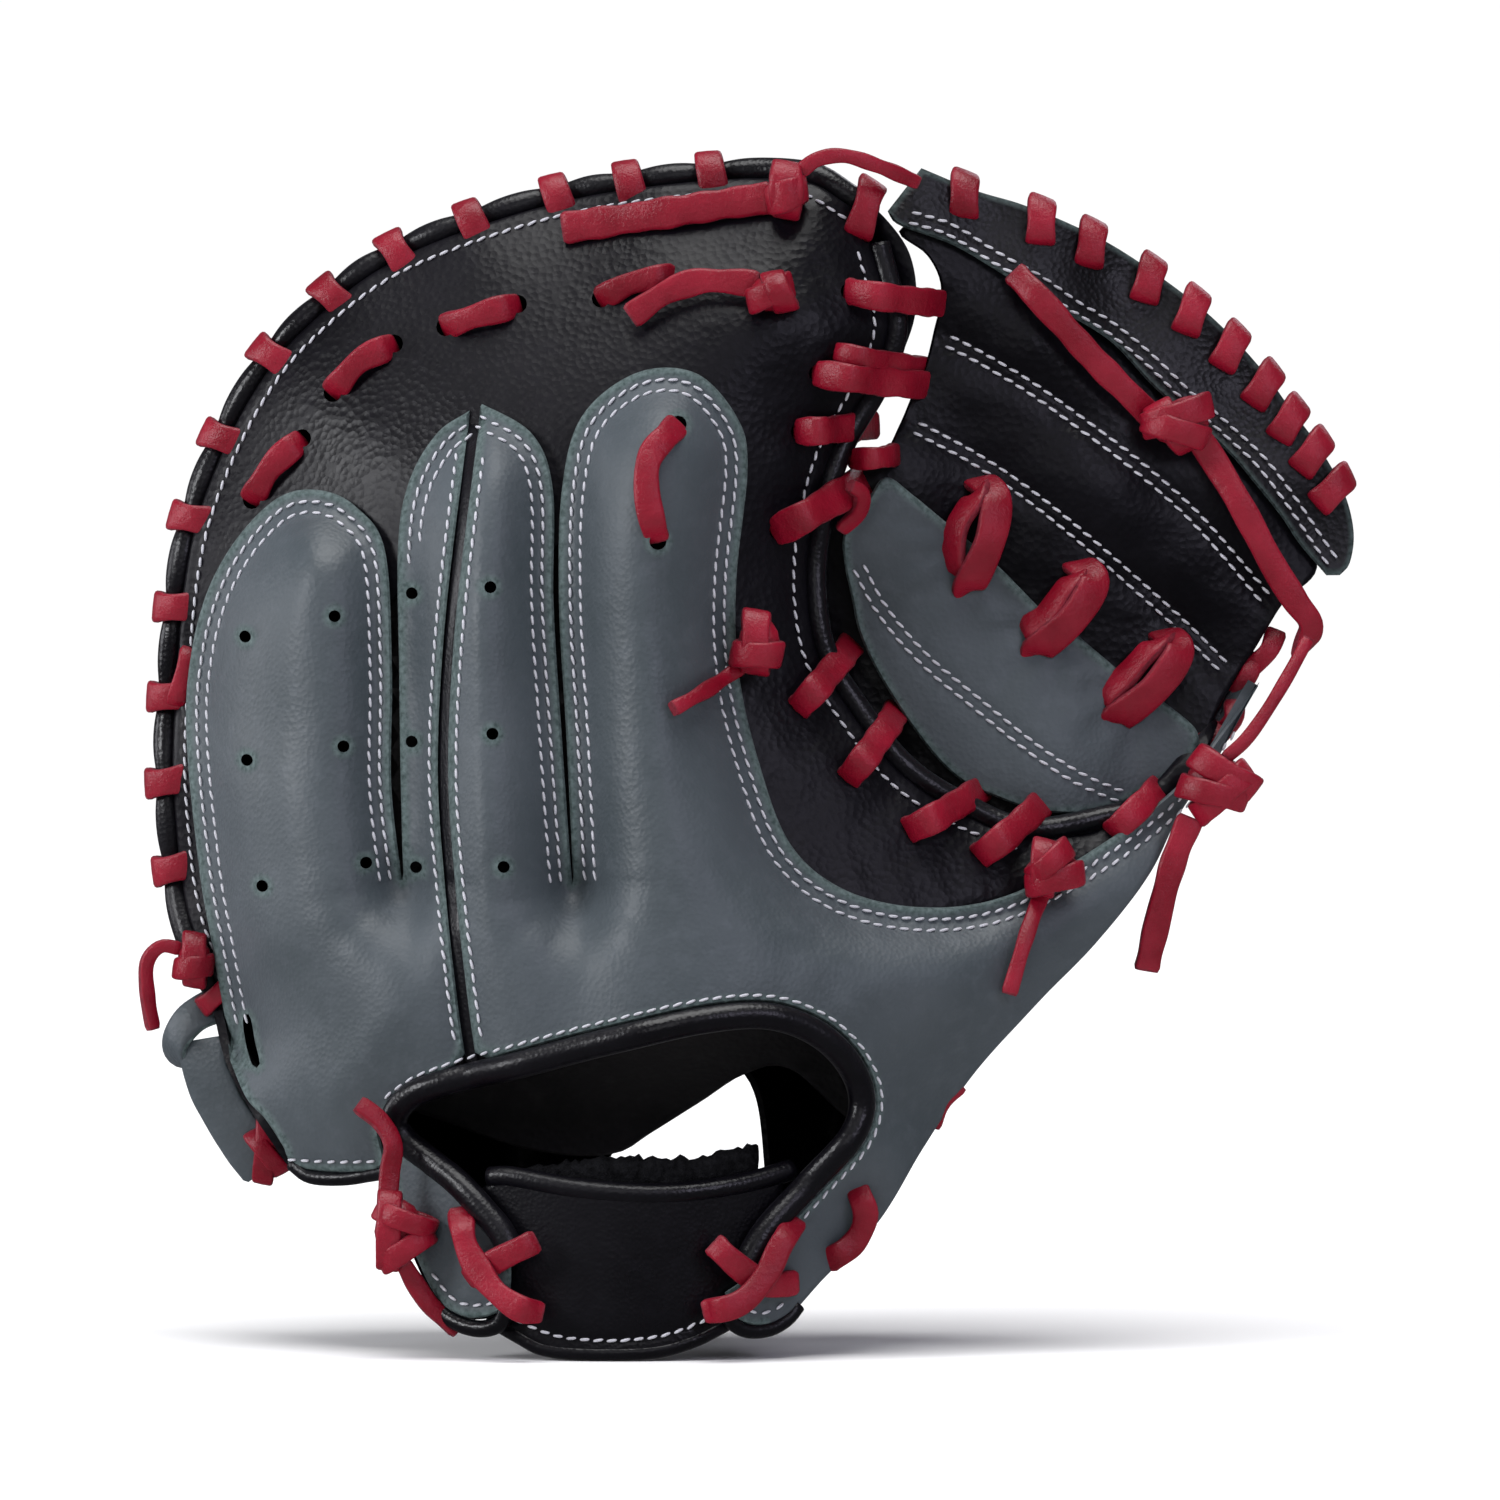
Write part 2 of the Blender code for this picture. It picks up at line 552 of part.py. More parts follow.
def make_little_finger_loop():
    strap_line = [(-119, 12, 68), (-124, 10, 62), (-119, 6, 52), (-112, 2, 42)]
    weld(ribbon("little_finger_loop", strap_line, GREY, 11.0, 2.4),
         ribbon("little_finger_loop_lace", [(-108, 1, 47), (-107.5, 0, 42), (-104, -2, 35)], width=6))


def make_running_laces():
    crescents = {
        "running_lace_a": [(-67, 226), (-60, 227), (-51.5, 230)],
        "running_lace_b": [(-92, 211), (-85, 217), (-79, 221)],
        "running_lace_c": [(-110, 187), (-105, 194), (-99.5, 200)],
    }
    for name, route in crescents.items():
        ribbon(name, route, surface=shell, width=5.5)
    ribbon("index_lace", [(-16.5, 203), (-22, 192), (-20.5, 181)], surface=grey, width=5.5)


def make_top_lacing():
    y = shell(8, 253) - 8
    weld(knot("top_knot", (8, y, 253.5), (8.5, 9, 12), tilt=0.2),
         ribbon("top_link_lace", [(9, y, 257), (20, y, 262.5), (30, y + 2, 260), (35, y + 5, 257.5)],
                width=3))
    ribbon("top_lace_end", [(3, 253), (-12, 251), (-28, 248), (-42, 246)], width=7,
           surface=lambda x, z: shell(x, z) - 1.0)
    weld(knot("second_knot", (5, shell(5, 233) - 6, 233), (10, 9, 10)),
         ribbon("second_lace_end", [(4, 234), (-14, 235.5), (-26, 228)], width=5.5,
                surface=lambda x, z: shell(x, z) - 3.8))
    y = edge_depth(-123, 85) - 9
    weld(knot("little_edge_knot", (-123, y, 85), (9, 8, 11)),
         ribbon("little_edge_lace_end", [(-124, y - 1, 87), (-130.5, y, 86), (-132.5, y, 71)], width=3))


def make_crotch_lacing():
    laces = {
        "web_lace_1": ((20, 233), (44, 230)),
        "web_lace_2": ((13, 214), (40, 214)),
        "web_lace_3": ((5, 180), (27, 193)),
        "web_lace_4": ((11, 141), (24, 157)),
        "web_lace_5": ((21, 126), (33, 142)),
        "web_lace_6": ((34.5, 113), (47, 124)),
        "web_lace_7": ((50, 108), (65, 122)),
    }
    for name, (start, end) in laces.items():
        middle = ((start[0] + end[0]) / 2, (start[1] + end[1]) / 2)
        front = min(shell(*start), edge_depth(*middle) - 2 - ROLL_RADIUS, web(*end)) - 4.4
        route = [(start[0], min(front + 1.0, shell(*start) - 4.2), start[1]),
                 (middle[0], front - 1.0, middle[1]), (end[0], front + 1.5, end[1])]
        ribbon(name, route, step=6)
    weld(knot("crotch_knot", (2, grey(2, 156) - 6, 156.5), (11, 9, 13)),
         ribbon("crotch_knot_end", [(0, 153), (-7, 148), (-16, 143)], width=3,
                surface=lambda x, z: grey(x, z) - 2.5))


def make_thumb_lacing():
    weld(knot("thumb_knot_upper", (67, grey(67, 106) - 6, 106), (13, 9, 12)),
         ribbon("thumb_knot_upper_end", [(66, 103), (61, 92), (57, 80)], width=3.5,
                surface=lambda x, z: grey(x, z) - 2.5))
    y = grey(103, 124) - 6
    weld(knot("thumb_knot_outer", (103, y, 124.5), (17, 9, 16)),
         ribbon("thumb_knot_outer_strand", [(105, y, 129), (113, y + 3, 140), (119, y + 6, 148),
                                            (123, y + 9, 155)], width=3))
    ribbon("thumb_knot_outer_end", [(97, y, 114.5), (93.5, y - 1, 103), (90, y, 92), (87.5, y + 1, 82)],
           width=6, step=7)


# ---------------------------------------------------------------- web
def make_web():
    """Three leather pieces, each cut at the fold, and the laces that hold them."""
    for side, name in ((-1, "fingers"), (1, "thumb")):
        main = cut_at_fold(bend_through(WEB_MAIN, 12, True), side, WEB_FOLD_GAP)
        sheet(f"web_panel_{name}", main, web, BLACK)
        lower = cut_at_fold(bend_through(WEB_LOWER, 11, True), side, WEB_FOLD_GAP)
        sheet(f"web_lower_panel_{name}", lower, lambda x, z: web(x, z) - LEATHER - LAYER_GAP, GREY)
        band = cut_at_fold(bend_through(WEB_BAND, 11, True), side, WEB_FOLD_GAP)
        sheet(f"web_top_band_{name}", band, lambda x, z: web(x, z) - LEATHER - LAYER_GAP, BLACK)
        whip_lace(f"web_edge_lace_{name}", cut_at_fold(WEB_BAND[:8], side, WEB_FOLD_GAP + 3)[:5],
                  lambda x, z: web(x, z) - 1.5, 4.8, 5.0, 12.5)

    def over_lower(x, z):
        return web(x, z) - LEATHER - LAYER_GAP

    ribbon("web_cross_lace_a", [(48, 168), (47, 178), (52, 189)], surface=over_lower, width=7)
    ribbon("web_cross_lace_b", [(64, 153), (69, 161), (76, 171)], surface=over_lower, width=6)
    ribbon("web_cross_lace_c", [(82, 138), (88, 146), (95, 155)], surface=over_lower, width=7)
    ribbon("web_tie_lace", [(59, 237), (67, 228), (76, 218), (83, 209.5)], surface=over_lower)
    weld(knot("web_tie_knot", (95, over_lower(95, 203) - 5, 203.5), (18, 10, 12)),
         ribbon("web_tie_lace_end", [(97, 203), (109, 185), (116, 172), (122, 161)],
                surface=over_lower))


def make_heel_knot():
    y = strap(-71, 26) - 10.5
    weld(knot("heel_knot", (-77, y, 27), (13, 9, 16)),
         ribbon("heel_knot_end_upper", [(-79, y, 31), (-78, y, 43), (-80, y, 49), (-85, y, 55)],
                width=4),
         ribbon("heel_knot_end_lower", [(-76, y, 23), (-71, y, 12), (-64, y + 2, 6.5)], width=4))


def build():
    for obj in list(bpy.data.objects):
        bpy.data.objects.remove(obj, do_unlink=True)
    bpy.context.scene.collection.children.link(parts)
    bpy.context.scene.collection.children.link(welded)
    make_palm()
    make_fold_strip()
    make_shell()
    make_back_leather()
    make_lining()
    make_edges()
    make_wrist()
    make_heel_laces()
    make_little_finger_loop()
    make_running_laces()
    make_top_lacing()
    make_crotch_lacing()
    make_thumb_lacing()
    make_web()
    make_heel_knot()


build()
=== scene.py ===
"""The looks of a baseball catcher's mitt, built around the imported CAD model.

Outlines and depths are in millimetres, (x, z) seen from the back of the hand and y towards the palm.
The leather follows the same depth fields as the CAD model's panels, with a finer surface.
"""

import json
import math

import bmesh
import bpy
import numpy as np
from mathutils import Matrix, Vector, kdtree
from mathutils.geometry import delaunay_2d_cdt

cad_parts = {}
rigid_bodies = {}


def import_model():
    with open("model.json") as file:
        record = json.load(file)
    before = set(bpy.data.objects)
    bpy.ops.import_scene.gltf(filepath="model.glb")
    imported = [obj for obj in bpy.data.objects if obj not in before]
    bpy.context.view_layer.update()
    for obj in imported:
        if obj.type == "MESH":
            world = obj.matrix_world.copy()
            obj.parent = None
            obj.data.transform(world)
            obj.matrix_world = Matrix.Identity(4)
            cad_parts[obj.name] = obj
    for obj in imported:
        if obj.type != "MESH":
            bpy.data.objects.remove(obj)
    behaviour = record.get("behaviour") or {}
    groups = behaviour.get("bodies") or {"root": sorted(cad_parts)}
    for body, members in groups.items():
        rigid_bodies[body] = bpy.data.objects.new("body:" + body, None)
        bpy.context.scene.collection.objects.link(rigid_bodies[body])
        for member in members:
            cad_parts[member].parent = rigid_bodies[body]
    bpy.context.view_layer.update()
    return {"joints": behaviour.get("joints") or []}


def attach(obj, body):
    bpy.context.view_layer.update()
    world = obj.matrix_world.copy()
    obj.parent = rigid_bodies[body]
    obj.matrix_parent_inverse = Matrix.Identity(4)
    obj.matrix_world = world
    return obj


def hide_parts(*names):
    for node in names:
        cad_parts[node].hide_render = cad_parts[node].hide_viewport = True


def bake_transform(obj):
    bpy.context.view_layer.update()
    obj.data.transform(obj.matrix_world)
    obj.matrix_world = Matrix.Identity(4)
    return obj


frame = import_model()

MM = 0.001
SHIFT = np.array((-1.7, 5.2, 0.0))     # the CAD model's place, relative to the outlines
LEATHER = 2.6                          # thickness of the hide
LAYER = LEATHER + 1.2                  # from one layer's face to that of the layer under it
GROOVE = 0.35                          # how far a stitch line sinks into the leather
ROLL = 2.7                             # radius of the rolled edge binding
THUMB_ROLL = 2.2
STITCH_PITCH = 2.95
STITCH_LENGTH = 2.35
STITCH_RADIUS = 0.34
FIRST_ROW = 2.5                        # the two rows of stitches, from the leather's edge
SECOND_ROW = 4.8
ROW_STEP = 1.3                         # between the points of a stitch row
TWIN = 2.4                             # between the two stitch rows of a web seam
VENT = 1.35                            # radius of a vent hole
LACE_HOLE = 2.0
LACE_WIDTH = 6.2
LACE_THICK = 2.5
LACE_SIDES = 14
TUBE_SIDES = 14
RIM_RISE = 46.0                        # how far the palm rises from its edge over the padding
RIM_REACH = 9.5
BACK_RISE = 40.0                       # how far the back arches away from its edge
BACK_REACH = 38.0
STALL_RISE = 15.0                      # how far a finger's leather stands over its seam
STALL_REACH = 8.0
HAND_SPACE = 15.0
STRAP_DEPTH, STRAP_BOW = -46.0, 18.0   # the strap's ends, and how far its middle stands out
STRAP_MIDDLE, STRAP_HALF = -28.0, 44.0
POCKET_FLOOR, POCKET_FALL, POCKET_REACH = 3.0, 60.0, 95.0
PALM_BLEND = 5.0                       # how softly the padded rim turns into the pocket
NO_CUT = 9.0                           # "edge" of a point with no raw edge near it
RNG = np.random.default_rng(7)

# ---------------------------------------------------------------- outlines, millimetres
RIM = [(-116, 70), (-122, 78), (-129, 95), (-132, 120), (-132, 140), (-129.5, 170), (-124.5, 190),
       (-114, 212), (-101, 228), (-80, 243.5), (-47, 255.5), (-15, 261), (12, 261.5), (25, 255)]
INNER_EDGE = [(31, 244), (35, 226), (31, 212), (23, 198), (19, 186), (17, 170), (19, 155), (26, 143),
              (36, 130.5), (48, 122.5), (62, 117), (82, 120)]
THUMB_EDGE = [(113, 145), (104, 130), (95, 117), (88, 104), (76, 89), (63, 76), (50, 62), (38, 45),
              (28, 29), (16, 17), (9, 11)]
HEEL_EDGE = [(-3, 9), (-12, 3), (-30, 0), (-46, 3), (-60, 9), (-72, 20), (-82, 38), (-100, 40),
             (-110, 53)]
LITTLE_STALL = [(-116, 70), (-119, 88), (-122, 105), (-125, 135), (-124, 152), (-120, 167),
                (-113, 179), (-104, 187.5), (-95, 189), (-87, 185.5), (-80.5, 176), (-78.9, 150),
                (-79, 125), (-76.7, 104)]
RING_STALL = [(-76.3, 104), (-76.9, 125), (-77.3, 150), (-77.6, 178), (-75, 192), (-69, 202),
              (-58, 208.5), (-48, 202), (-43.4, 190), (-43.2, 165), (-41.3, 135), (-39.1, 104)]
INDEX_STALL = [(-38.8, 104), (-40.3, 135), (-42.0, 165), (-41.4, 190), (-37, 206), (-25, 215.5),
               (-12, 215.5), (-3, 206), (-0.5, 195), (-3, 170), (-2.5, 150), (2, 130), (9, 112),
               (21, 102), (38, 98), (56, 100), (76, 110), (94, 123), (106, 137), (113, 146)]
OPENING = [(-78, 53), (-70, 58.5), (-50, 65), (-30, 70.5), (-10, 75), (5, 75.5), (17, 70), (24, 60),
           (23, 50), (13, 38.5), (4, 29), (-1, 21)]
PALM_OUTLINE = (RIM[1:] + INNER_EDGE[:-1] + [(78, 116), (90, 115)] + THUMB_EDGE[3:-1]
                + [(7, 13), (3, 18), (2, 38), (0, 54), (-5, 60), (-14, 56), (-25, 46), (-31, 36),
                   (-32, 4), (-34, -4), (-42, -6), (-52, -3), (-62, 8), (-71, 20), (-80, 36),
                   (-98, 43), (-108, 55)])

# Depths of the edges, (x, z, y)
EDGE_DEPTHS = [(-120, 75, 2), (-132, 110, 10), (-131, 150, 16), (-118, 204, 20), (-88, 239, 20),
               (-47, 255, 16), (-8, 261, 10), (26, 253, 2), (32, 220, -4), (17, 180, -10),
               (20, 155, -14), (36, 131, -16), (62, 118, -13), (82, 121, -7), (113, 145, 12),
               (95, 117, 5), (76, 89, -2), (50, 62, -12), (28, 29, -26), (9, 11, -34),
               (-30, 0, -36), (-60, 8, -34), (-80, 38, -20), (-104, 47, -6)]
PALM_DEPTHS = [(-120, 75, 6), (-132, 110, 14), (-131, 150, 20), (-118, 204, 24), (-88, 239, 24),
               (-47, 255, 20), (-8, 261, 14), (26, 253, 6), (32, 220, 2), (17, 180, -2),
               (20, 155, -4), (36, 131, -5), (62, 118, -4), (82, 121, 0), (113, 145, 16),
               (95, 117, 10), (76, 89, 4), (50, 62, 2), (28, 29, 4), (9, 11, 6),
               (-44, 2, 8), (-60, 8, 6), (-80, 38, 0), (-104, 47, 0), (-10, 55, 6)]
WEB_DEPTHS = [(24, 190, -3), (38, 240, 6), (60, 122, -4), (98, 132, 6), (116, 160, 13),
              (134, 180, 22), (115, 213, 24), (88, 238, 23), (55, 256, 16), (75, 185, 2),
              (60, 215, 5), (100, 180, 9)]
POCKET = (5.0, 140.0)

# The fold, for pieces that bend with the joint
FOLD = frame["joints"][0]


# ---------------------------------------------------------------- curves and distances
def smooth(points, step=1.2, closed=False):
    """A Catmull-Rom curve through the points, as evenly spaced points `step` mm apart."""
    p = np.array(points, float)
    if closed:
        p = np.vstack((p[-1:], p, p[:2]))
    else:
        p = np.vstack((2 * p[0] - p[1], p, 2 * p[-1] - p[-2]))
    t = np.linspace(0, 1, 24, endpoint=False)[:, None]
    rows = []
    for a, b, c, d in zip(p[:-3], p[1:-2], p[2:-1], p[3:]):
        rows.append(0.5 * (2 * b + (c - a) * t + (2 * a - 5 * b + 4 * c - d) * t ** 2
                           + (3 * b - 3 * c + d - a) * t ** 3))
    line = np.vstack(rows + [p[-2][None]])
    length = np.concatenate(([0], np.cumsum(np.linalg.norm(np.diff(line, axis=0), axis=1))))
    count = max(2, int(round(length[-1] / step)) + 1)
    at = np.linspace(0, length[-1], count)
    even = np.stack([np.interp(at, length, line[:, k]) for k in range(line.shape[1])], axis=1)
    return even[:-1] if closed else even


def distance(line, x, z, closed=False):
    """Distance in mm from each (x, z) to a chain of points."""
    line = np.asarray(line, float)
    ends = np.roll(line, -1, axis=0) if closed else line[1:]
    starts = line if closed else line[:-1]
    p = np.stack((np.ravel(x), np.ravel(z)), axis=1)
    best = np.full(len(p), 1e9)
    for k in range(0, len(starts), 64):
        a, d = starts[k:k + 64], ends[k:k + 64] - starts[k:k + 64]
        size = np.maximum((d ** 2).sum(1), 1e-9)
        t = np.clip(((p[:, None] - a) * d).sum(2) / size, 0, 1)
        best = np.minimum(best, (((p[:, None] - a - t[..., None] * d) ** 2).sum(2)).min(1))
    return np.sqrt(best).reshape(np.shape(x))


def inside(loop, x, z):
    """Whether each (x, z) is inside a loop of points."""
    loop = np.asarray(loop, float)
    x, z = np.asarray(x, float), np.asarray(z, float)
    odd = np.zeros(x.shape, bool)
    for (ax, az), (bx, bz) in zip(loop, np.roll(loop, -1, axis=0)):
        if az == bz:
            continue
        odd ^= ((az > z) != (bz > z)) & (x < (bx - ax) * (z - az) / (bz - az) + ax)
    return odd


def normals(line, closed=False):
    """The direction to the right of a line's run, at each of its points."""
    line = np.asarray(line, float)
    if closed:
        along = np.roll(line, -1, axis=0) - np.roll(line, 1, axis=0)
    else:
        along = np.gradient(line, axis=0)
    along /= np.maximum(np.linalg.norm(along, axis=1, keepdims=True), 1e-9)
    return np.stack((along[:, 1], -along[:, 0]), axis=1)


def moved(points, amount, step=1.2, closed=False, tidy=True):
    """A line moved `amount` mm to the right of its run, without the points that would cross over."""
    line = smooth(points, step, closed)
    out = line + normals(line, closed) * amount
    if not tidy:
        return out
    keep = distance(line, out[:, 0], out[:, 1], closed) > abs(amount) * 0.93
    return out[keep]


def ramp(value, low, high):
    """A smooth step from 0 at `low` to 1 at `high`."""
    t = np.clip((value - low) / (high - low), 0, 1)
    return t * t * (3 - 2 * t)


def field(samples, softness=12.0):
    """A smooth function of (x, z) that passes near the (x, z, y) samples."""
    sx, sz, sy = np.array(samples, float).T

    def depth(x, z):
        gap = (np.asarray(x)[..., None] - sx) ** 2 + (np.asarray(z)[..., None] - sz) ** 2
        w = (gap + softness ** 2) ** -1.5
        return (w * sy).sum(-1) / w.sum(-1)
    return depth


def waves(x, z, size, seed):
    """Smooth unevenness between -1 and 1, from a few crossed sine waves of about `size` mm."""
    r = np.random.default_rng(seed)
    total = 0
    for _ in range(6):
        angle, phase, scale = r.uniform(0, math.tau), r.uniform(0, math.tau), r.uniform(0.7, 1.4)
        total = total + np.sin((x * math.cos(angle) + z * math.sin(angle))
                               * math.tau / (size * scale) + phase)
    return total / 4


# ---------------------------------------------------------------- depth fields
edge_depth = field(EDGE_DEPTHS)
palm_edge_depth = field(PALM_DEPTHS)
web_base = field(WEB_DEPTHS)
SIDES = (smooth(HEEL_EDGE[-3:] + RIM, 8), smooth([RIM[-1]] + INNER_EDGE + THUMB_EDGE[:1], 8),
         smooth(THUMB_EDGE + HEEL_EDGE, 8))
SEWN = np.vstack((smooth(LITTLE_STALL, 4), smooth(RING_STALL, 4), smooth(INDEX_STALL, 4)))
PALM_LINE = smooth(PALM_OUTLINE, 3, True)
WELT = [(-60.5, 207), (-62, 195), (-66, 160), (-67.5, 130), (-66, 105), (-63, 78), (-61, 64)]
WELT_LINE = smooth(WELT, 4)
HAND_REGION = np.array(LITTLE_STALL + RING_STALL + INDEX_STALL + THUMB_EDGE[1:] + HEEL_EDGE, float)


def web(x, z):
    """The web, pushed out a little between its laces."""
    return web_base(x, z) + 0.5 * waves(x, z, 38, 5)


def shell(x, z):
    """The black back: it arches away from every side, with the nearest sides blended smoothly."""
    gaps = np.stack([distance(side, x, z) for side in SIDES])
    nearest = gaps.min(0)
    blend = np.maximum(0.18 * nearest, 0.05)
    reach = nearest - blend * np.log(np.exp(-(gaps - nearest) / blend).sum(0))
    folds = 0.35 * waves(x, z, 8, 4) * ramp(x, -6, 14) + 0.35 * waves(x, z, 30, 2)
    return edge_depth(x, z) - BACK_RISE * (1 - np.exp(-reach / BACK_REACH)) + folds


def strap(x, z):
    """The wrist strap, bowed out for the wrist."""
    return STRAP_DEPTH - STRAP_BOW * (1 - ((x - STRAP_MIDDLE) / STRAP_HALF) ** 2) + 0 * z


def grey(x, z):
    """The grey leather: flat along its seams, full over the fingers, creased below the slits."""
    reach = distance(SEWN, x, z)
    welt = distance(WELT_LINE, x, z)
    stall = STALL_RISE * (1 - np.exp(-(np.maximum(reach - 3, 0) / STALL_REACH) ** 1.35))
    valley = 2.6 * np.exp(-(welt / 5.0) ** 2)
    crease = 0
    for cx, cz, lean in ((-38.5, 104, 0.0), (-76.5, 104, 0.25)):
        dx, dz = x - cx, z - cz
        along = np.clip(-dz, 0, 75)
        across = dx + lean * dz
        depth = 4.4 * np.exp(-along / 34) * ramp(-dz, -9, 2)
        crease = crease + depth * np.exp(-(across / (4 + 0.18 * along)) ** 2)
        fan = np.arctan2(dx, -dz)
        size = np.hypot(dx, dz)
        crease = crease + 0.35 * np.sin(fan * 13) * np.exp(-((size - 9) / 9) ** 2) * (np.abs(fan) < 1.9)
    over = shell(x, z) - LAYER - stall + valley + crease + 0.5 * waves(x, z, 42, 9)
    heel = ramp(x, -92, -76) * ramp(-z, -52, -34) * ramp(-x, -34, -14)
    return over * (1 - heel) + (strap(x, z) - LAYER) * heel


def hand_floor(x, z):
    """The lining on the palm side of the hand's room."""
    reach = np.where(inside(HAND_REGION, x, z), distance(SEWN, x, z), 0)
    fingers = shell(x, z) + LAYER + HAND_SPACE * (1 - np.exp(-reach / 10))
    heel = ramp(x, -95, -70) * ramp(-z, -85, -48) * ramp(-x, -45, -15)
    return fingers * (1 - heel) - 6 * heel


def palm(x, z):
    """The palm side: a padded rim that falls into the pocket."""
    reach = np.maximum(distance(PALM_LINE, x, z, True) - 4.0, 0)
    rim = palm_edge_depth(x, z) - 2 + RIM_RISE * (1 - np.exp(-reach / RIM_REACH))
    away = (x - POCKET[0]) ** 2 + (z - POCKET[1]) ** 2
    pocket = POCKET_FLOOR + POCKET_FALL * away / POCKET_REACH ** 2
    both = np.exp(-rim / PALM_BLEND) + np.exp(-pocket / PALM_BLEND)
    return -PALM_BLEND * np.log(both) + 0.5 * waves(x, z, 34, 3)


# ---------------------------------------------------------------- materials
def mix_colour(tree, factor, a, b):
    node = tree.nodes.new("ShaderNodeMix")
    node.data_type = "RGBA"
    for socket, value in ((node.inputs[0], factor), (node.inputs[6], a), (node.inputs[7], b)):
        if hasattr(value, "is_linked"):
            tree.links.new(value, socket)
        else:
            socket.default_value = (*value, 1)
    return node.outputs[2]


def noise(tree, place, scale, detail=3.0, kind="ShaderNodeTexNoise", rough=0.55):
    node = tree.nodes.new(kind)
    node.inputs["Scale"].default_value = scale
    if "Detail" in node.inputs:
        node.inputs["Detail"].default_value = detail
    if "Roughness" in node.inputs:
        node.inputs["Roughness"].default_value = rough
    tree.links.new(place, node.inputs["Vector"])
    return node.outputs[0]


def spread(tree, value, low, high, to_low=0.0, to_high=1.0):
    node = tree.nodes.new("ShaderNodeMapRange")
    for socket, number in zip(node.inputs[1:5], (low, high, to_low, to_high)):
        socket.default_value = number
    tree.links.new(value, node.inputs[0])
    return node.outputs[0]


def math_node(tree, kind, a, b):
    node = tree.nodes.new("ShaderNodeMath")
    node.operation = kind
    for socket, value in zip(node.inputs, (a, b)):
        if isinstance(value, (int, float)):
            socket.default_value = value
        else:
            tree.links.new(value, socket)
    return node.outputs[0]


def attribute(tree, name):
    node = tree.nodes.new("ShaderNodeAttribute")
    node.attribute_name = name
    return node.outputs["Fac"]


def start_material(name):
    made = bpy.data.materials.new(name)
    made.use_nodes = True
    tree = made.node_tree
    place = tree.nodes.new("ShaderNodeTexCoord").outputs["Object"]
    return made, tree, tree.nodes["Principled BSDF"], place


def bump(tree, height, strength, depth):
    node = tree.nodes.new("ShaderNodeBump")
    node.inputs["Strength"].default_value = strength
    node.inputs["Distance"].default_value = depth
    tree.links.new(height, node.inputs["Height"])
    return node.outputs[0]


def leather_material(name, dark, main, light, rough, grain, grain_depth, sheen=0.0, raw=None, shine=0.35,
                     raw_reach=(1.5, 2.9)):
    """Grained leather: pores and pebbles, fine creases, mottled dye, and a raw suede cut edge."""
    made, tree, shader, place = start_material(name)
    mottle = noise(tree, place, 28, 4)
    fine = noise(tree, place, 260, 3)
    pebble = noise(tree, place, grain, 0, "ShaderNodeTexVoronoi")
    cell = spread(tree, pebble, 0.0, 0.75)
    crease = noise(tree, place, 120, 6, rough=0.7)
    colour = mix_colour(tree, spread(tree, mottle, 0.35, 0.68), dark, main)
    colour = mix_colour(tree, spread(tree, fine, 0.5, 0.75, 0, 0.45), colour, light)
    roughness = spread(tree, mottle, 0.3, 0.7, rough - 0.06, rough + 0.08)
    height = math_node(tree, "ADD", math_node(tree, "MULTIPLY", cell, 0.8),
                       math_node(tree, "MULTIPLY", crease, 0.9))
    if raw:
        edge = attribute(tree, "edge")
        fuzz = noise(tree, place, 900, 2)
        ragged = math_node(tree, "ADD", edge, math_node(tree, "MULTIPLY", fuzz, 1.1))
        cut = spread(tree, ragged, *raw_reach, 1, 0)
        suede = mix_colour(tree, spread(tree, fuzz, 0.3, 0.7), raw[0], raw[1])
        colour = mix_colour(tree, cut, colour, suede)
        roughness = math_node(tree, "ADD", roughness, math_node(tree, "MULTIPLY", cut, 0.35))
        height = math_node(tree, "ADD", height, math_node(tree, "MULTIPLY", fuzz, cut))
    tree.links.new(colour, shader.inputs["Base Color"])
    tree.links.new(roughness, shader.inputs["Roughness"])
    tree.links.new(bump(tree, height, 0.55, grain_depth), shader.inputs["Normal"])
    shader.inputs["Specular IOR Level"].default_value = shine
    shader.inputs["Sheen Weight"].default_value = sheen
    shader.inputs["Sheen Roughness"].default_value = 0.45
    shader.inputs["Sheen Tint"].default_value = (0.78, 0.74, 1.0, 1)
    return made


def lace_material():
    """Dyed rawhide: a slick grain face and rough, paler split sides."""
    made, tree, shader, place = start_material("red_rawhide")
    mottle = noise(tree, place, 70, 4)
    fibre = noise(tree, place, 700, 4, rough=0.7)
    side = attribute(tree, "side")
    face = mix_colour(tree, spread(tree, mottle, 0.3, 0.7), (0.155, 0.0012, 0.009), (0.270, 0.0030, 0.019))
    flesh = mix_colour(tree, spread(tree, fibre, 0.3, 0.7), (0.085, 0.0020, 0.008), (0.240, 0.012, 0.030))
    cut = spread(tree, math_node(tree, "ADD", side, math_node(tree, "MULTIPLY", fibre, 0.5)), 0.65, 1.0)
    tree.links.new(mix_colour(tree, cut, face, flesh), shader.inputs["Base Color"])
    rough = math_node(tree, "ADD", spread(tree, mottle, 0.3, 0.7, 0.28, 0.40),
                      math_node(tree, "MULTIPLY", cut, 0.4))
    tree.links.new(rough, shader.inputs["Roughness"])
    height = math_node(tree, "ADD", fibre, math_node(tree, "MULTIPLY", mottle, 0.6))
    tree.links.new(bump(tree, height, 0.6, 0.0005), shader.inputs["Normal"])
    shader.inputs["Specular IOR Level"].default_value = 0.36
    return made


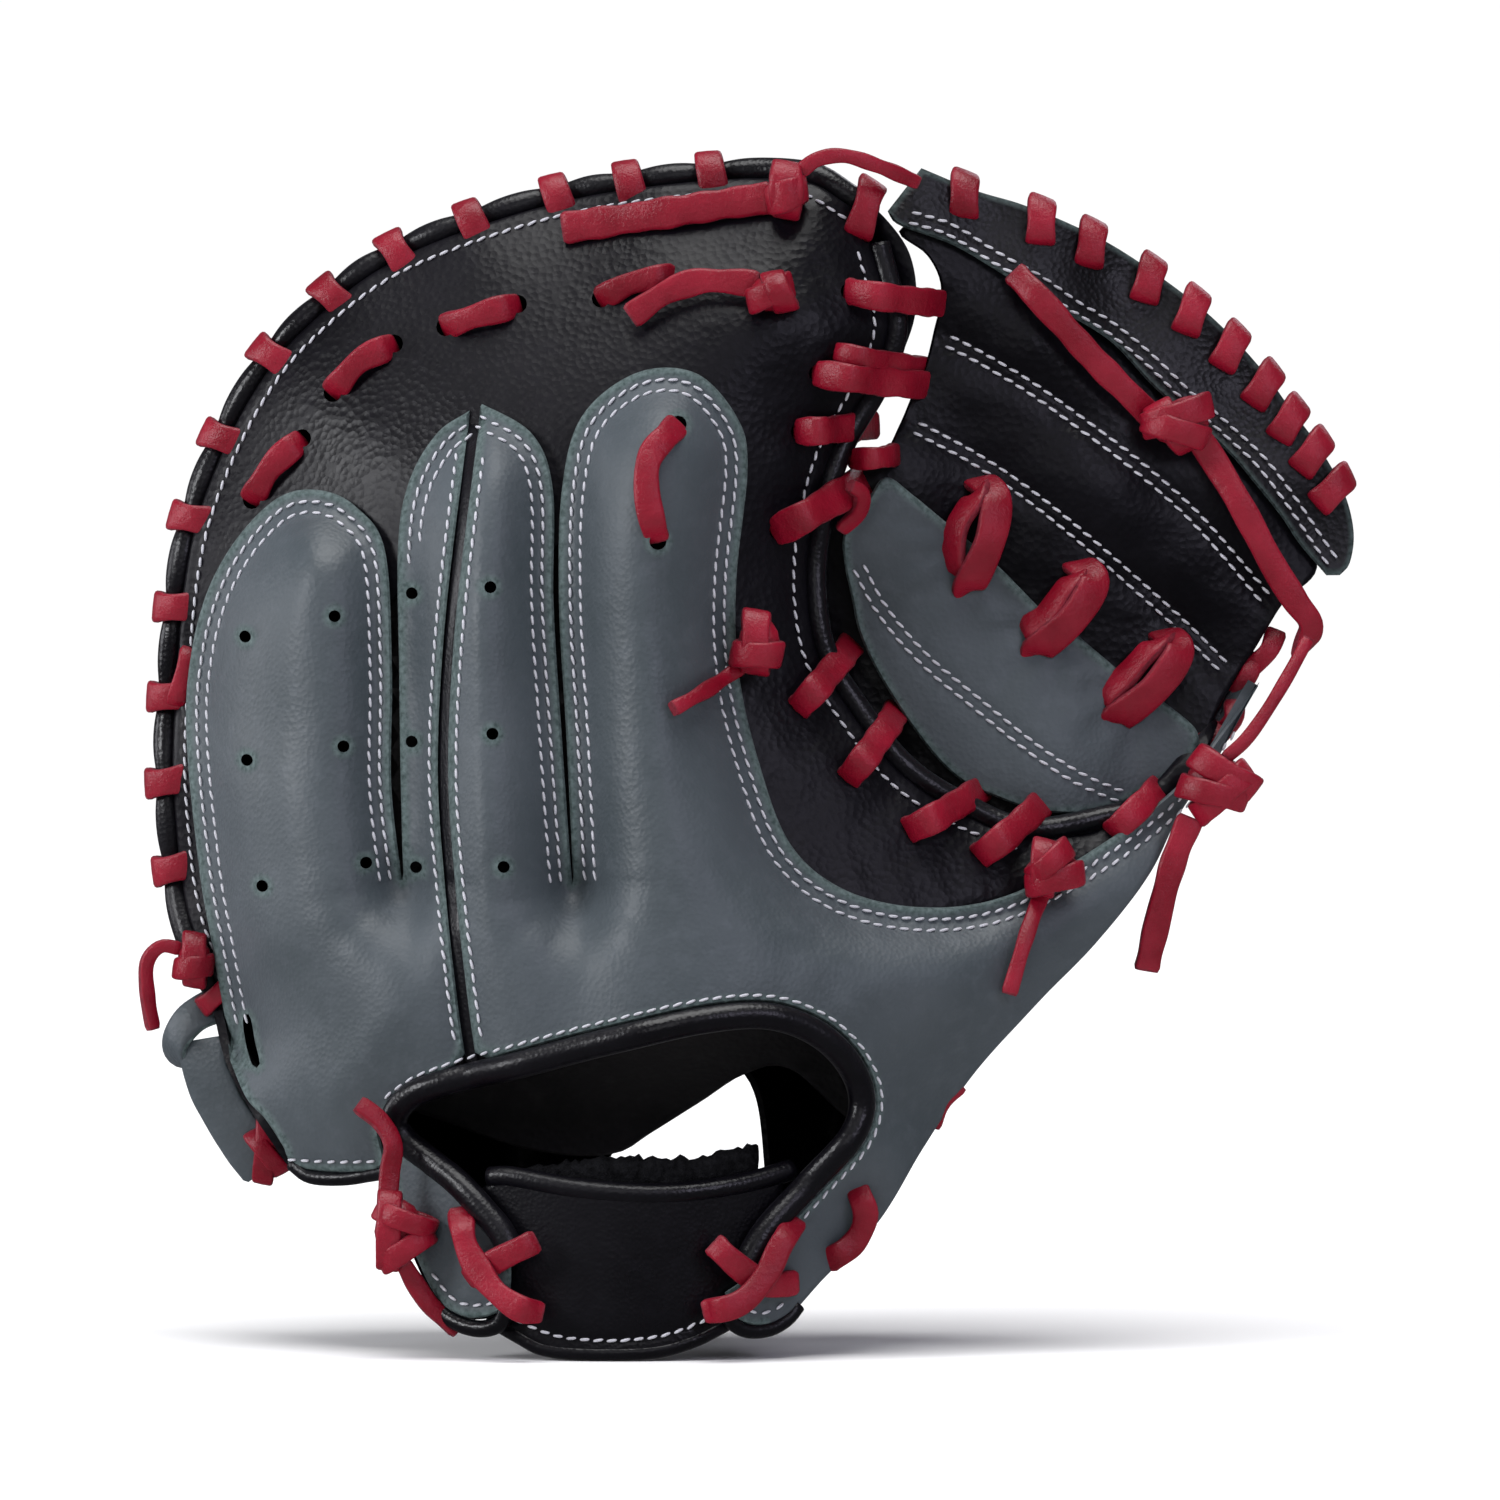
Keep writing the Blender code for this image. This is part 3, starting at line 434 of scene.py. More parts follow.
def thread_material(name, low, high):
    made, tree, shader, place = start_material(name)
    strand = noise(tree, place, 1500, 2)
    tree.links.new(mix_colour(tree, strand, low, high), shader.inputs["Base Color"])
    tree.links.new(bump(tree, strand, 0.5, 0.0002), shader.inputs["Normal"])
    shader.inputs["Roughness"].default_value = 0.6
    return made


def fleece_material():
    made, tree, shader, place = start_material("fleece_pile")
    tuft = noise(tree, place, 520, 4, rough=0.7)
    colour = mix_colour(tree, spread(tree, tuft, 0.3, 0.7), (0.001, 0.001, 0.0015), (0.012, 0.012, 0.014))
    tree.links.new(colour, shader.inputs["Base Color"])
    tree.links.new(bump(tree, tuft, 1.0, 0.0016), shader.inputs["Normal"])
    shader.inputs["Roughness"].default_value = 0.95
    shader.inputs["Specular IOR Level"].default_value = 0.1
    return made


GREY_HIDE = leather_material("grey_leather", (0.044, 0.056, 0.064), (0.059, 0.072, 0.083),
                             (0.071, 0.084, 0.097), 0.49, 900, 0.00014, 0.02,
                             ((0.032, 0.052, 0.051), (0.100, 0.136, 0.136)), 0.44)
BLACK_HIDE = leather_material("black_leather", (0.0015, 0.0012, 0.0026), (0.0029, 0.0024, 0.0048),
                              (0.0048, 0.0040, 0.0074), 0.38, 620, 0.00022, shine=0.20)
BLACK_RAW = leather_material("black_leather_cut", (0.0016, 0.0014, 0.0026), (0.0030, 0.0026, 0.0046),
                             (0.0048, 0.0042, 0.0070), 0.40, 800, 0.00025, 0.0,
                             ((0.012, 0.020, 0.020), (0.055, 0.080, 0.080)), 0.34, (1.1, 2.0))
SMOOTH_BLACK = leather_material("black_binding", (0.0018, 0.0015, 0.0028), (0.0032, 0.0028, 0.0050),
                                (0.0048, 0.0042, 0.0070), 0.31, 1100, 0.00012, shine=0.34)
LINING = leather_material("lining_leather", (0.008, 0.007, 0.008), (0.018, 0.016, 0.017),
                          (0.028, 0.026, 0.027), 0.58, 700, 0.0003)
RED = lace_material()
WHITE_THREAD = thread_material("white_thread", (0.36, 0.36, 0.40), (0.62, 0.62, 0.67))
FLEECE = fleece_material()


# ---------------------------------------------------------------- mesh building
def to_world(points):
    """Millimetre points as metres in the shared frame."""
    return (np.asarray(points, float) + SHIFT) * MM


def place(name, verts, faces, material, slot, attributes=None):
    """A smooth-shaded mesh object from millimetre points."""
    mesh = bpy.data.meshes.new(name)
    mesh.from_pydata(to_world(verts).tolist(), [], [list(map(int, f)) for f in faces])
    mesh.materials.append(material)
    for key, values in (attributes or {}).items():
        mesh.attributes.new(key, "FLOAT", "POINT").data.foreach_set("value", np.asarray(values, np.float32))
    mesh.validate()
    obj = bpy.data.objects.new(name, mesh)
    bpy.context.scene.collection.objects.link(obj)
    mesh.shade_smooth()
    return obj


def bend(obj, *nodes):
    """The piece stands for these CAD nodes, which are hidden, and its transform is baked into its mesh."""
    if nodes:
        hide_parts(*nodes)
    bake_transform(obj)
    return obj


def thin_out(points, kept, gap):
    """The points that are at least `gap` from every kept point."""
    tree = kdtree.KDTree(len(kept))
    for i, p in enumerate(kept):
        tree.insert((p[0], p[1], 0), i)
    tree.balance()
    return np.array([p for p in points if tree.find((p[0], p[1], 0))[2] > gap]).reshape(-1, 2)


def fill_outline(loop, lines=(), holes=(), spacing=2.4):
    """Triangles inside a loop, finer at its edge and along lines, with round holes left open."""
    loop = np.asarray(loop, float)
    fixed = [loop, *holes]
    kept = np.vstack(fixed)
    for amount, gap in ((0.5, 0.4), (1.3, 0.7)):
        side = normals(loop, True)
        for sign in (-1, 1):
            ring = loop + side * amount * sign
            ring = ring[inside(loop, ring[:, 0], ring[:, 1])]
            ring = ring[distance(loop, ring[:, 0], ring[:, 1], True) > amount * 0.9]
            if len(ring):
                kept = np.vstack((kept, thin_out(ring, kept, gap)))
    for line in lines:
        line = line[inside(loop, line[:, 0], line[:, 1])]
        if len(line):
            kept = np.vstack((kept, thin_out(line, kept, 0.45)))
    low, high = loop.min(0), loop.max(0)
    xs, zs = np.meshgrid(np.arange(low[0], high[0], spacing), np.arange(low[1], high[1], spacing * 0.87))
    xs[1::2] += spacing / 2
    grid = np.stack((xs.ravel(), zs.ravel()), 1)
    grid = grid[inside(loop, grid[:, 0], grid[:, 1])]
    for hole in holes:
        grid = grid[~inside(hole, grid[:, 0], grid[:, 1])]
    kept = np.vstack((kept, thin_out(grid, kept, spacing * 0.62)))
    borders = []
    start = 0
    for ring in fixed:
        count = len(ring)
        borders += [(start + i, start + (i + 1) % count) for i in range(count)]
        start += count
    made = delaunay_2d_cdt([Vector(p) for p in kept], borders, [], 0, 1e-5)
    flat = np.array([tuple(p) for p in made[0]])
    tris = np.array([f for f in made[2] if len(f) == 3])
    middle = flat[tris].mean(1)
    good = inside(loop, middle[:, 0], middle[:, 1])
    for hole in holes:
        good &= ~inside(hole, middle[:, 0], middle[:, 1])
    return flat, tris[good]


def leather(name, loop, surface, material, slot, thickness=LEATHER, lines=(), holes=(), spacing=2.4,
            round_off=0.7, folded=()):
    """A cut piece of leather with rounded edges, punched holes and sunken stitch lines.

    Along a `folded` line the leather turns under, so no raw edge shows there.
    """
    flat, tris = fill_outline(loop, lines, holes, spacing)
    x, z = flat[:, 0], flat[:, 1]
    edge = distance(loop, x, z, True)
    for hole in holes:
        edge = np.minimum(edge, distance(hole, x, z, True) + 0.4)
    y = surface(x, z)
    inner = np.clip(round_off - edge, 0, round_off)
    top = y + round_off - np.sqrt(np.maximum(round_off ** 2 - inner ** 2, 0))
    for line in lines[::3]:
        top = top + GROOVE * np.exp(-(distance(line, x, z) / 0.75) ** 2)
    count = len(flat)
    used = np.unique(tris)
    verts = np.vstack((np.stack((x, top, z), 1), np.stack((x, y + thickness, z), 1)))
    directed = np.vstack((tris[:, (0, 1)], tris[:, (1, 2)], tris[:, (2, 0)]))
    _, first, seen = np.unique(np.sort(directed, axis=1), axis=0, return_index=True, return_counts=True)
    border = directed[first[seen == 1]]
    walls = [(b, a, a + count, b + count) for a, b in border]
    faces = tris.tolist() + (tris[:, ::-1] + count).tolist() + walls
    remap = np.full(2 * count, -1)
    both = np.concatenate((used, used + count))
    remap[both] = np.arange(len(both))
    faces = [[remap[i] for i in f] for f in faces]
    for line in folded:
        edge = np.where(distance(line, x, z) < 5, NO_CUT, edge)
    obj = place(name, verts[both], faces, material, slot, {"edge": np.concatenate((edge, edge))[both]})
    obj.data.set_sharp_from_angle(angle=math.radians(50))
    return obj


def seam_lines(rows, offset=0.9):
    """Every stitch row and its two sides, for leather() to sink."""
    lines = []
    for row in rows:
        side = normals(row) * offset
        lines += [row, row + side, row - side]
    return lines


def capsule(rings=5, sides=6):
    """A lying capsule from x = -0.5 to 0.5 with radius 1 in y and z, as points and faces."""
    points = [(-0.5, 0, 0)]
    for i in range(rings):
        t = (i + 0.5) / rings
        r = math.sqrt(max(0.0, 1 - abs(2 * t - 1) ** 3))
        for k in range(sides):
            a = math.tau * k / sides
            points.append((t - 0.5, r * math.cos(a), r * math.sin(a)))
    points.append((0.5, 0, 0))
    faces = []
    for k in range(sides):
        n = (k + 1) % sides
        faces.append((0, 1 + n, 1 + k))
        for i in range(rings - 1):
            a = 1 + i * sides
            faces.append((a + k, a + n, a + sides + n, a + sides + k))
        last = 1 + (rings - 1) * sides
        faces.append((last + k, last + n, len(points) - 1))
    return np.array(points), faces


CAPSULE = capsule()


def stitches(name, lines, surface):
    """Rows of thread stitches that lie on a surface along (x, z) lines."""
    points, faces = CAPSULE
    length, radius = STITCH_LENGTH, STITCH_RADIUS
    bow = -0.12 - 0.25 * radius + 0.9 * radius * (points[:, 0] * 2) ** 4
    all_points, all_faces = [], []
    total = 0
    for line in lines:
        marks = smooth(line, STITCH_PITCH)
        if len(marks) < 2:
            continue
        centre = (marks[1:] + marks[:-1]) / 2
        run = marks[1:] - marks[:-1]
        run /= np.linalg.norm(run, axis=1, keepdims=True)
        ends = [centre + run * length / 2 * s for s in (-1, 1)]
        y0, y1, ym = (surface(p[:, 0], p[:, 1]) for p in (ends[0], ends[1], centre))
        tilt = RNG.normal(0.14, 0.05, len(centre))
        for c, r, a, b, m, turn in zip(centre, run, y0, y1, ym, tilt):
            along = np.array((r[0], (b - a) / length, r[1]))
            along /= np.linalg.norm(along)
            side = np.array((-r[1], 0, r[0]))
            along = along + side * turn
            out = np.cross(side, along)
            p = (np.array((c[0], m, c[1])) + points[:, :1] * along * length
                 + points[:, 1:2] * side * radius + points[:, 2:] * out * radius)
            p[:, 1] += bow
            all_points.append(p)
            all_faces += [[i + total for i in f] for f in faces]
            total += len(p)
    return place(name, np.vstack(all_points), all_faces, WHITE_THREAD, None)


def swept_faces(count, sides):
    """Faces of a solid swept through `count` rings of `sides` points, with its two caps."""
    faces = [(i * sides + k, i * sides + (k + 1) % sides, (i + 1) * sides + (k + 1) % sides,
              (i + 1) * sides + k) for i in range(count - 1) for k in range(sides)]
    faces.append(list(range(sides))[::-1])
    faces.append([(count - 1) * sides + k for k in range(sides)])
    return faces


def lace_section(width, thickness):
    """A rounded flat section: points across (u) and through (v), and how much each is on a side."""
    a = np.linspace(0, math.tau, LACE_SIDES, endpoint=False) + math.pi / LACE_SIDES
    c, s = np.cos(a), np.sin(a)
    u = np.sign(c) * np.abs(c) ** 0.35 * width / 2
    v = np.sign(s) * np.abs(s) ** 0.62 * thickness / 2
    return u, v, (np.abs(c) > 0.86).astype(float)


def lace(name, path, ups, width=LACE_WIDTH, thickness=LACE_THICK, material=RED,
         slot="red_rawhide", rough=0.10, taper=True):
    """A flat lace swept along (x, y, z) points, its face turned towards `ups`, one for each point."""
    data = np.hstack((np.array(path, float), np.array(ups, float)))
    line = smooth(data, 1.0)
    centre, up = line[:, :3], line[:, 3:]
    along = np.gradient(centre, axis=0)
    along /= np.linalg.norm(along, axis=1, keepdims=True)
    up = up - (up * along).sum(1, keepdims=True) * along
    up /= np.maximum(np.linalg.norm(up, axis=1, keepdims=True), 1e-6)
    across = np.cross(along, up)
    u, v, side = lace_section(width, thickness)
    count = len(centre)
    wobble = 1 + rough * waves(np.arange(count) + len(name), 0 * centre[:, 0], 9, len(name))
    size = np.ones(count)
    if taper:
        size[0] = size[-1] = 0.86
    rows = (centre[:, None] + across[:, None] * (u[None, :, None] * (wobble * size)[:, None, None])
            + up[:, None] * (v[None, :, None] * size[:, None, None]))
    sides = np.tile(side, count)
    sides[:LACE_SIDES] = sides[-LACE_SIDES:] = 1
    obj = place(name, rows.reshape(-1, 3), swept_faces(count, LACE_SIDES), material, slot,
                {"side": sides, "edge": NO_CUT * (1 - sides)})
    obj.data.set_sharp_from_angle(angle=math.radians(60))
    return obj


def joined(name, objs):
    """Several pieces of one thing as one object."""
    bpy.ops.object.select_all(action="DESELECT")
    for obj in objs:
        obj.select_set(True)
    bpy.context.view_layer.objects.active = objs[0]
    if len(objs) > 1:
        bpy.ops.object.join()
    objs[0].name = name
    objs[0].data.name = name
    return objs[0]


def tube(name, path, radius):
    """A round black binding along (x, y, z) points; radius is one number or one for each point."""
    line = np.asarray(path, float)
    count = len(line)
    radius = np.broadcast_to(radius, (count,))
    along = np.gradient(line, axis=0)
    along /= np.linalg.norm(along, axis=1, keepdims=True)
    up = np.tile((0.0, -1.0, 0.0), (count, 1))
    up -= (up * along).sum(1, keepdims=True) * along
    up /= np.linalg.norm(up, axis=1, keepdims=True)
    across = np.cross(along, up)
    a = np.linspace(0, math.tau, TUBE_SIDES, endpoint=False)
    rows = (line[:, None] + radius[:, None, None] * (across[:, None] * np.cos(a)[None, :, None]
                                                   + up[:, None] * np.sin(a)[None, :, None]))
    return place(name, rows.reshape(-1, 3), swept_faces(count, TUBE_SIDES), SMOOTH_BLACK, "black_binding")


def circle(x, z, radius, count=12):
    """A round hole, as a loop of points."""
    a = np.linspace(0, math.tau, count, endpoint=False)
    return np.stack((x + radius * np.cos(a), z + radius * np.sin(a)), 1)


def lying_lace(name, route, surface, width=LACE_WIDTH, arch=0.0, dip=2.2):
    """A lace that comes out of one hole, lies along a surface and goes back into another."""
    line = smooth(route, 1.5)
    run = np.linspace(0, 1, len(line))
    y = surface(line[:, 0], line[:, 1]) - LACE_THICK / 2 - 0.3 - arch * np.sin(math.pi * run)
    y = y + dip * (ramp(-run, -0.16, 0.0) + ramp(run, 0.84, 1.0))
    path = np.stack((line[:, 0], y, line[:, 1]), 1)
    return lace(name, path, [(0, -1, 0)] * len(path), width)


# ---------------------------------------------------------------- back of the mitt
VENTS_LITTLE = [(-111.5, 157), (-91.5, 162), (-111, 130), (-89.5, 133.5), (-107.5, 102.5),
                (-84.5, 108), (-74.5, 167), (-74.5, 134.5), (-73.5, 107)]
VENTS_MIDDLE = [(-57, 169), (-56.5, 137), (-54, 108)]


def back_leather():
    """The grey leather over the fingers and the thumb, its stitching and the welt."""
    welt = smooth(WELT, 1.5)
    welt_left = welt + normals(welt) * 1.15
    welt_right = welt - normals(welt) * 1.15
    little = smooth(LITTLE_STALL)
    ring_left = smooth([p for p in RING_STALL if p[0] < -60] + [(-61.9, 206.9)])
    lower = smooth([(-63.8, 64.5), (-71, 61), (-77.5, 56.2), (-81.5, 50), (-80.5, 43), (-84, 40.2),
                    (-100, 40), (-103, 45), (-107, 51), (-111, 55), (-115, 63)])
    left = np.vstack((little, ring_left[1:], welt_left[2:-2], lower[1:]))
    rows_left = []
    for amount in (FIRST_ROW, SECOND_ROW):
        rows_left.append(moved(LITTLE_STALL, amount, ROW_STEP))
        ring = moved([p for p in RING_STALL if p[0] < -60] + [(-63.5, 206)], amount, ROW_STEP)
        rows_left.append(ring[ring[:, 1] > 168 + 2 * amount])
    rows_left.append(welt[6:-4] + normals(welt)[6:-4] * 3.0)
    rows_left.append(smooth([(-102.5, 42), (-92, 42), (-82, 42.5)], ROW_STEP))
    seams = seam_lines(rows_left)
    holes = [circle(x, z, VENT) for x, z in VENTS_LITTLE]
    holes.append(smooth([(-110.6, 73), (-112.2, 72.4), (-111.6, 67), (-109.8, 62.2), (-108.2, 62.8),
                         (-109.4, 67.5)][::-1], 1.2, True))
    bend(leather("back_leather_left", left, grey, GREY_HIDE, "grey_leather", lines=seams, holes=holes),
         "back_leather_little_ring")

    ring_right = smooth([(-59.5, 207.9), (-58.6, 208.1)] + [p for p in RING_STALL if p[0] > -57])
    index = smooth(INDEX_STALL)
    thumb = smooth(THUMB_EDGE[1:-1] + [(9, 10), (2, 7.5), (-4, 10), (-5.5, 15)])
    opening = moved(OPENING, -3.0)
    opening = opening[(opening[:, 0] > -58.5) | (opening[:, 1] < 30)]
    right = np.vstack((welt_right[::-1][2:-4], ring_right, index[1:], thumb, opening[::-1]))
    rows = []
    for amount in (FIRST_ROW, SECOND_ROW):
        rows.append(moved([(-59, 208.3)] + [p for p in RING_STALL if p[0] > -57], amount, ROW_STEP))
        rows.append(moved(INDEX_STALL[:-1], amount, ROW_STEP))
    rows.append(welt[6:-4] - normals(welt)[6:-4] * 3.0)
    rows.append(smooth([(-1, 11.5), (3, 10), (8, 12.5)], ROW_STEP))
    seams = seam_lines(rows)
    holes = [circle(x, z, VENT) for x, z in VENTS_MIDDLE]
    holes += [circle(x, z, 1.9) for x, z in ((-15.8, 204.6), (-20.2, 179.2))]
    bend(leather("back_leather_right", right, grey, GREY_HIDE, "grey_leather", lines=seams, holes=holes,
                 folded=[smooth(THUMB_EDGE, 2)]), "back_leather_middle_index", "back_leather_thumb")
    bend(stitches("back_leather_stitching", rows_left + rows, grey))

    strip = np.vstack(((welt + normals(welt) * 1.9)[2:], (welt - normals(welt) * 1.9)[:1:-1]))
    bend(leather("welt", strip, lambda x, z: grey(x, z) + 1.5, SMOOTH_BLACK, "black_binding", 2.0,
                 spacing=3), "centre_welt")


def back_shell():
    """The black back, from the stalls to the rim and along the crotch."""
    rim = moved(RIM, 4.2, 1.6)
    crotch = moved(INNER_EDGE, 4.2, 1.6)
    hidden = smooth([(84, 104), (60, 93), (38, 91), (20, 95), (4, 104), (-6, 120), (-11, 150),
                     (-10, 195), (-22, 204), (-34, 196), (-44, 176), (-56, 196), (-68, 190),
                     (-80, 164), (-98, 177), (-112, 162), (-114, 135), (-110, 105), (-108, 80)], 2.5)
    side = smooth([(88, 122), (97, 132), (104, 138), (98, 124)], 2)
    loop = np.vstack((rim, crotch, side, hidden))
    rows = [moved(RIM, 7.0, ROW_STEP), moved(INNER_EDGE[:-1], 7.4, ROW_STEP)]
    seams = seam_lines(rows)
    spots = [(-67.5, 225), (-51.3, 230.2), (-92.5, 210.3), (-78.8, 221.3), (-110.5, 186.5), (-99.2, 200.3),
             (-33, 231.5), (22.0, 233.2), (15.0, 215.2), (11.0, 202.4), (6.2, 180.5), (11.3, 142.5),
             (22.3, 127)]
    holes = [circle(x, z, LACE_HOLE) for x, z in spots]
    bend(leather("outer_back_shell", loop, shell, BLACK_HIDE, "black_leather", lines=seams, holes=holes,
                 spacing=2.6), "back_shell", "crotch_shell_thumb")
    bend(stitches("edge_stitching", rows, shell))


def palm_side():
    """The black palm over its felt, smoothed as one soft sheet."""
    crotch = [(34, 246), (37.5, 238), (37.8, 228), (35, 219), (31, 210), (26.5, 203), (23.5, 197),
              (19.8, 186), (17.8, 170), (19.8, 155)] + INNER_EDGE[7:-1]
    outline = [crotch if p == INNER_EDGE[0] else [p] for p in PALM_OUTLINE if p not in INNER_EDGE[1:]]
    outline = [p for group in outline for p in group]
    loop = moved(outline, 1.2, 1.8, True)
    away = distance(smooth(THUMB_EDGE[2:-1], 3), loop[:, 0], loop[:, 1])
    loop = loop + normals(loop, True) * (2.6 * (1 - ramp(away, 2.0, 9.0)))[:, None]
    loop[:, 1] = np.maximum(loop[:, 1], 0.3)
    obj = leather("palm_leather", loop, lambda x, z: -palm(x, z), BLACK_HIDE, "black_leather",
                  spacing=3.2, round_off=0.5)
    for v in obj.data.vertices:
        v.co.y = 2 * SHIFT[1] * MM - v.co.y
    obj.data.flip_normals()
    soft = bmesh.new()
    soft.from_mesh(obj.data)
    x = [v.co.x / MM - SHIFT[0] for v in soft.verts]
    z = [v.co.z / MM for v in soft.verts]
    middle = [v for v, d in zip(soft.verts, distance(loop, x, z, True)) if d > 4]
    for _ in range(5):
        bmesh.ops.smooth_vert(soft, verts=middle, factor=0.5, use_axis_y=True)
    soft.to_mesh(obj.data)
    soft.free()
    bend(obj, "palm_leather_fingers", "palm_leather_thumb", "palm_fold_strip", "palm_padding_fingers",
         "palm_padding_thumb")


def wall(name, front, back, material, slot, bulge, thickness=2.0, sections=9):
    """A side wall between two (x, y, z) lines, bulging away from the hand, as one closed sheet."""
    count = max(len(smooth(front, 2.5)), 12)
    rows = []
    for line in (front, back):
        dense = smooth(line, 0.5)
        rows.append(dense[np.linspace(0, len(dense) - 1, count).round().astype(int)])
    start, end = rows
    middle = (start + end) / 2
    out = -normals(middle[:, (0, 2)])
    out = np.stack((out[:, 0], 0 * out[:, 0], out[:, 1]), 1)
    sheets = []
    for offset in (0.0, -thickness):
        sheet = [start * (1 - t) + end * t + out * (bulge * math.sin(math.pi * t) + offset)
                 for t in np.linspace(0, 1, sections)]
        sheets.append(np.stack(sheet, 1))
    verts = np.vstack([sheet.reshape(-1, 3) for sheet in sheets])
    inner = count * sections
    faces = []
    for i in range(count - 1):
        for k in range(sections - 1):
            a, b = i * sections + k, (i + 1) * sections + k
            faces.append((a, b, b + 1, a + 1))
            faces.append((inner + a, inner + a + 1, inner + b + 1, inner + b))
        for k in (0, sections - 1):
            a, b = i * sections + k, (i + 1) * sections + k
            faces.append((a, inner + a, inner + b, b))
    for i in (0, count - 1):
        for k in range(sections - 1):
            a = i * sections + k
            faces.append((a, inner + a, inner + a + 1, a + 1))
    obj = place(name, verts, faces, material, slot, {"edge": np.full(len(verts), NO_CUT)})
    closed = bmesh.new()
    closed.from_mesh(obj.data)
    bmesh.ops.recalc_face_normals(closed, faces=closed.faces)
    closed.to_mesh(obj.data)
    closed.free()
    obj.data.set_sharp_from_angle(angle=math.radians(50))
    return obj


def deep_line(points, depth, shift):
    """(x, y, z) points over (x, z) ones, at a depth field plus a shift."""
    points = np.array(points, float)
    return np.stack((points[:, 0], depth(points[:, 0], points[:, 1]) + shift, points[:, 1]), 1)


def side_walls():
    """The leather that closes the thumb's outer side and the heel, between the back and the palm."""
    tuck = LEATHER * 0.6
    outer = smooth(THUMB_EDGE[:-1], 2)
    inward = normals(outer)
    trim = outer + inward * 2 * THUMB_ROLL
    front = deep_line(outer + inward * 0.9, grey, tuck)
    back = deep_line(trim, palm_edge_depth, -0.6)
    bend(wall("thumb_side_wall", front, back, GREY_HIDE, "grey_leather", 2.2))
    path = deep_line(trim, palm_edge_depth, 0.2)
    bend(tube("thumb_binding", path, THUMB_ROLL), "thumb_edge_binding")
    wraps = []
    for k in range(9, len(path) - 4, 7):
        across = np.array((-inward[k][0], 0, -inward[k][1]))
        turn = np.linspace(math.radians(-125), math.radians(125), 11)
        round_ = [across * math.cos(a) + np.array((0, math.sin(a), 0)) for a in turn]
        wraps.append(lace(f"thumb_wrap_{k}", [path[k] + r * 3.3 for r in round_], round_, 5.6, 2.1))
    bend(joined("thumb_edge_lacing", wraps))

    front = deep_line([(-117, 74), (-114, 63), (-108, 53), (-102.5, 45), (-99.5, 41.2), (-92, 40.4),
                       (-84, 41), (-80.5, 43)], grey, tuck)
    back = deep_line([(-117, 73), (-110, 58.5), (-104.5, 51), (-99, 45.5), (-95, 43.5), (-89, 41.5),
                      (-84, 40.5), (-80, 39.5)], palm_edge_depth, -0.6)
    bend(wall("little_heel_wall", front, back, BLACK_HIDE, "black_leather", 1.0))
    front = deep_line([(-78, 43), (-76, 33), (-72, 22.5), (-67.5, 14.5), (-61, 10.8), (-56, 11.5)],
                      over_strap, tuck)
    back = deep_line([(-79, 38), (-74.5, 29), (-70, 21.5), (-65, 14.5), (-60, 10), (-54, 7)],
                     palm_edge_depth, -0.6)
    bend(wall("heel_side_wall", front, back, BLACK_HIDE, "black_leather", 0.6))


def edge_roll():
    """The rolled bindings of the rim and the crotch, and the lacing over the rim."""
    marks = [(-121, 75), (-130, 104.5), (-131, 124), (-131, 143), (-129, 162.5), (-125, 182.5),
             (-118, 200.5), (-107, 219), (-94, 233), (-79, 242), (-62, 249.5), (-43, 255), (-27, 258),
             (-8.5, 259.5)]
    centre = moved(RIM, ROLL, 1.0, tidy=False)
    path = deep_line(centre, edge_depth, 0)
    pinch = np.zeros(len(centre))
    for x, z in marks:
        pinch += np.exp(-((centre[:, 0] - x) ** 2 + (centre[:, 1] - z) ** 2) / (2 * 3.6 ** 2))
    bend(tube("edge_roll", path, ROLL + 0.35 - 0.95 * np.clip(pinch, 0, 1)), "edge_binding_fingers")
    centre = moved(INNER_EDGE, ROLL, 1.0, tidy=False)
    bend(tube("crotch_roll", deep_line(centre, edge_depth, -2), ROLL), "crotch_binding_fingers",
         "crotch_binding_thumb")
    rim = smooth(RIM, 0.5)
    side = normals(rim)
    wraps = []
    for i, mark in enumerate(marks):
        k = np.argmin(((rim - mark) ** 2).sum(1))
        wraps.append(edge_wrap(f"edge_wrap_{i}", rim[k], -side[k], edge_depth, 6.4 if i else 4.5))
    bend(joined("edge_lacing", wraps), "edge_lace_fingers")


def edge_wrap(name, point, outward, depth, width, reach=6.6, lean=0.12):
    """One turn of lace from a hole in the back, over the rolled edge, to a hole in the palm."""
    y = float(depth(point[0], point[1]))
    turn = [(-reach, -1.0), (-reach + 1.0, -4.0), (-0.5 * reach, -4.7), (0.2, -4.4), (2.9, -2.7),
            (3.9, 0.4), (3.2, 3.6), (1.0, 6.4), (-1.8, 9.5), (-4.0, 12.5)]
    centre = np.array((point[0] - outward[0] * ROLL, y, point[1] - outward[1] * ROLL))
    out = np.array((outward[0], 0, outward[1]))
    along = np.array((-outward[1], 0, outward[0]))
    path, ups = [], []
    for o, d in turn:
        path.append(centre + out * o + np.array((0, d, 0)) + along * (o * lean))
        hub = np.array((min(o, 0) * 0.9, max(d, 0) * 0.75))
        up = np.array((o, d)) - hub
        if o < -3:
            up = np.array((0.0, math.copysign(1, d))) if d < 3 else np.array((0.9, 0.45))
        up = up / (np.linalg.norm(up) + 1e-6)
        ups.append(out * up[0] + np.array((0, up[1], 0)))
    return lace(name, path, ups, width, 2.3)


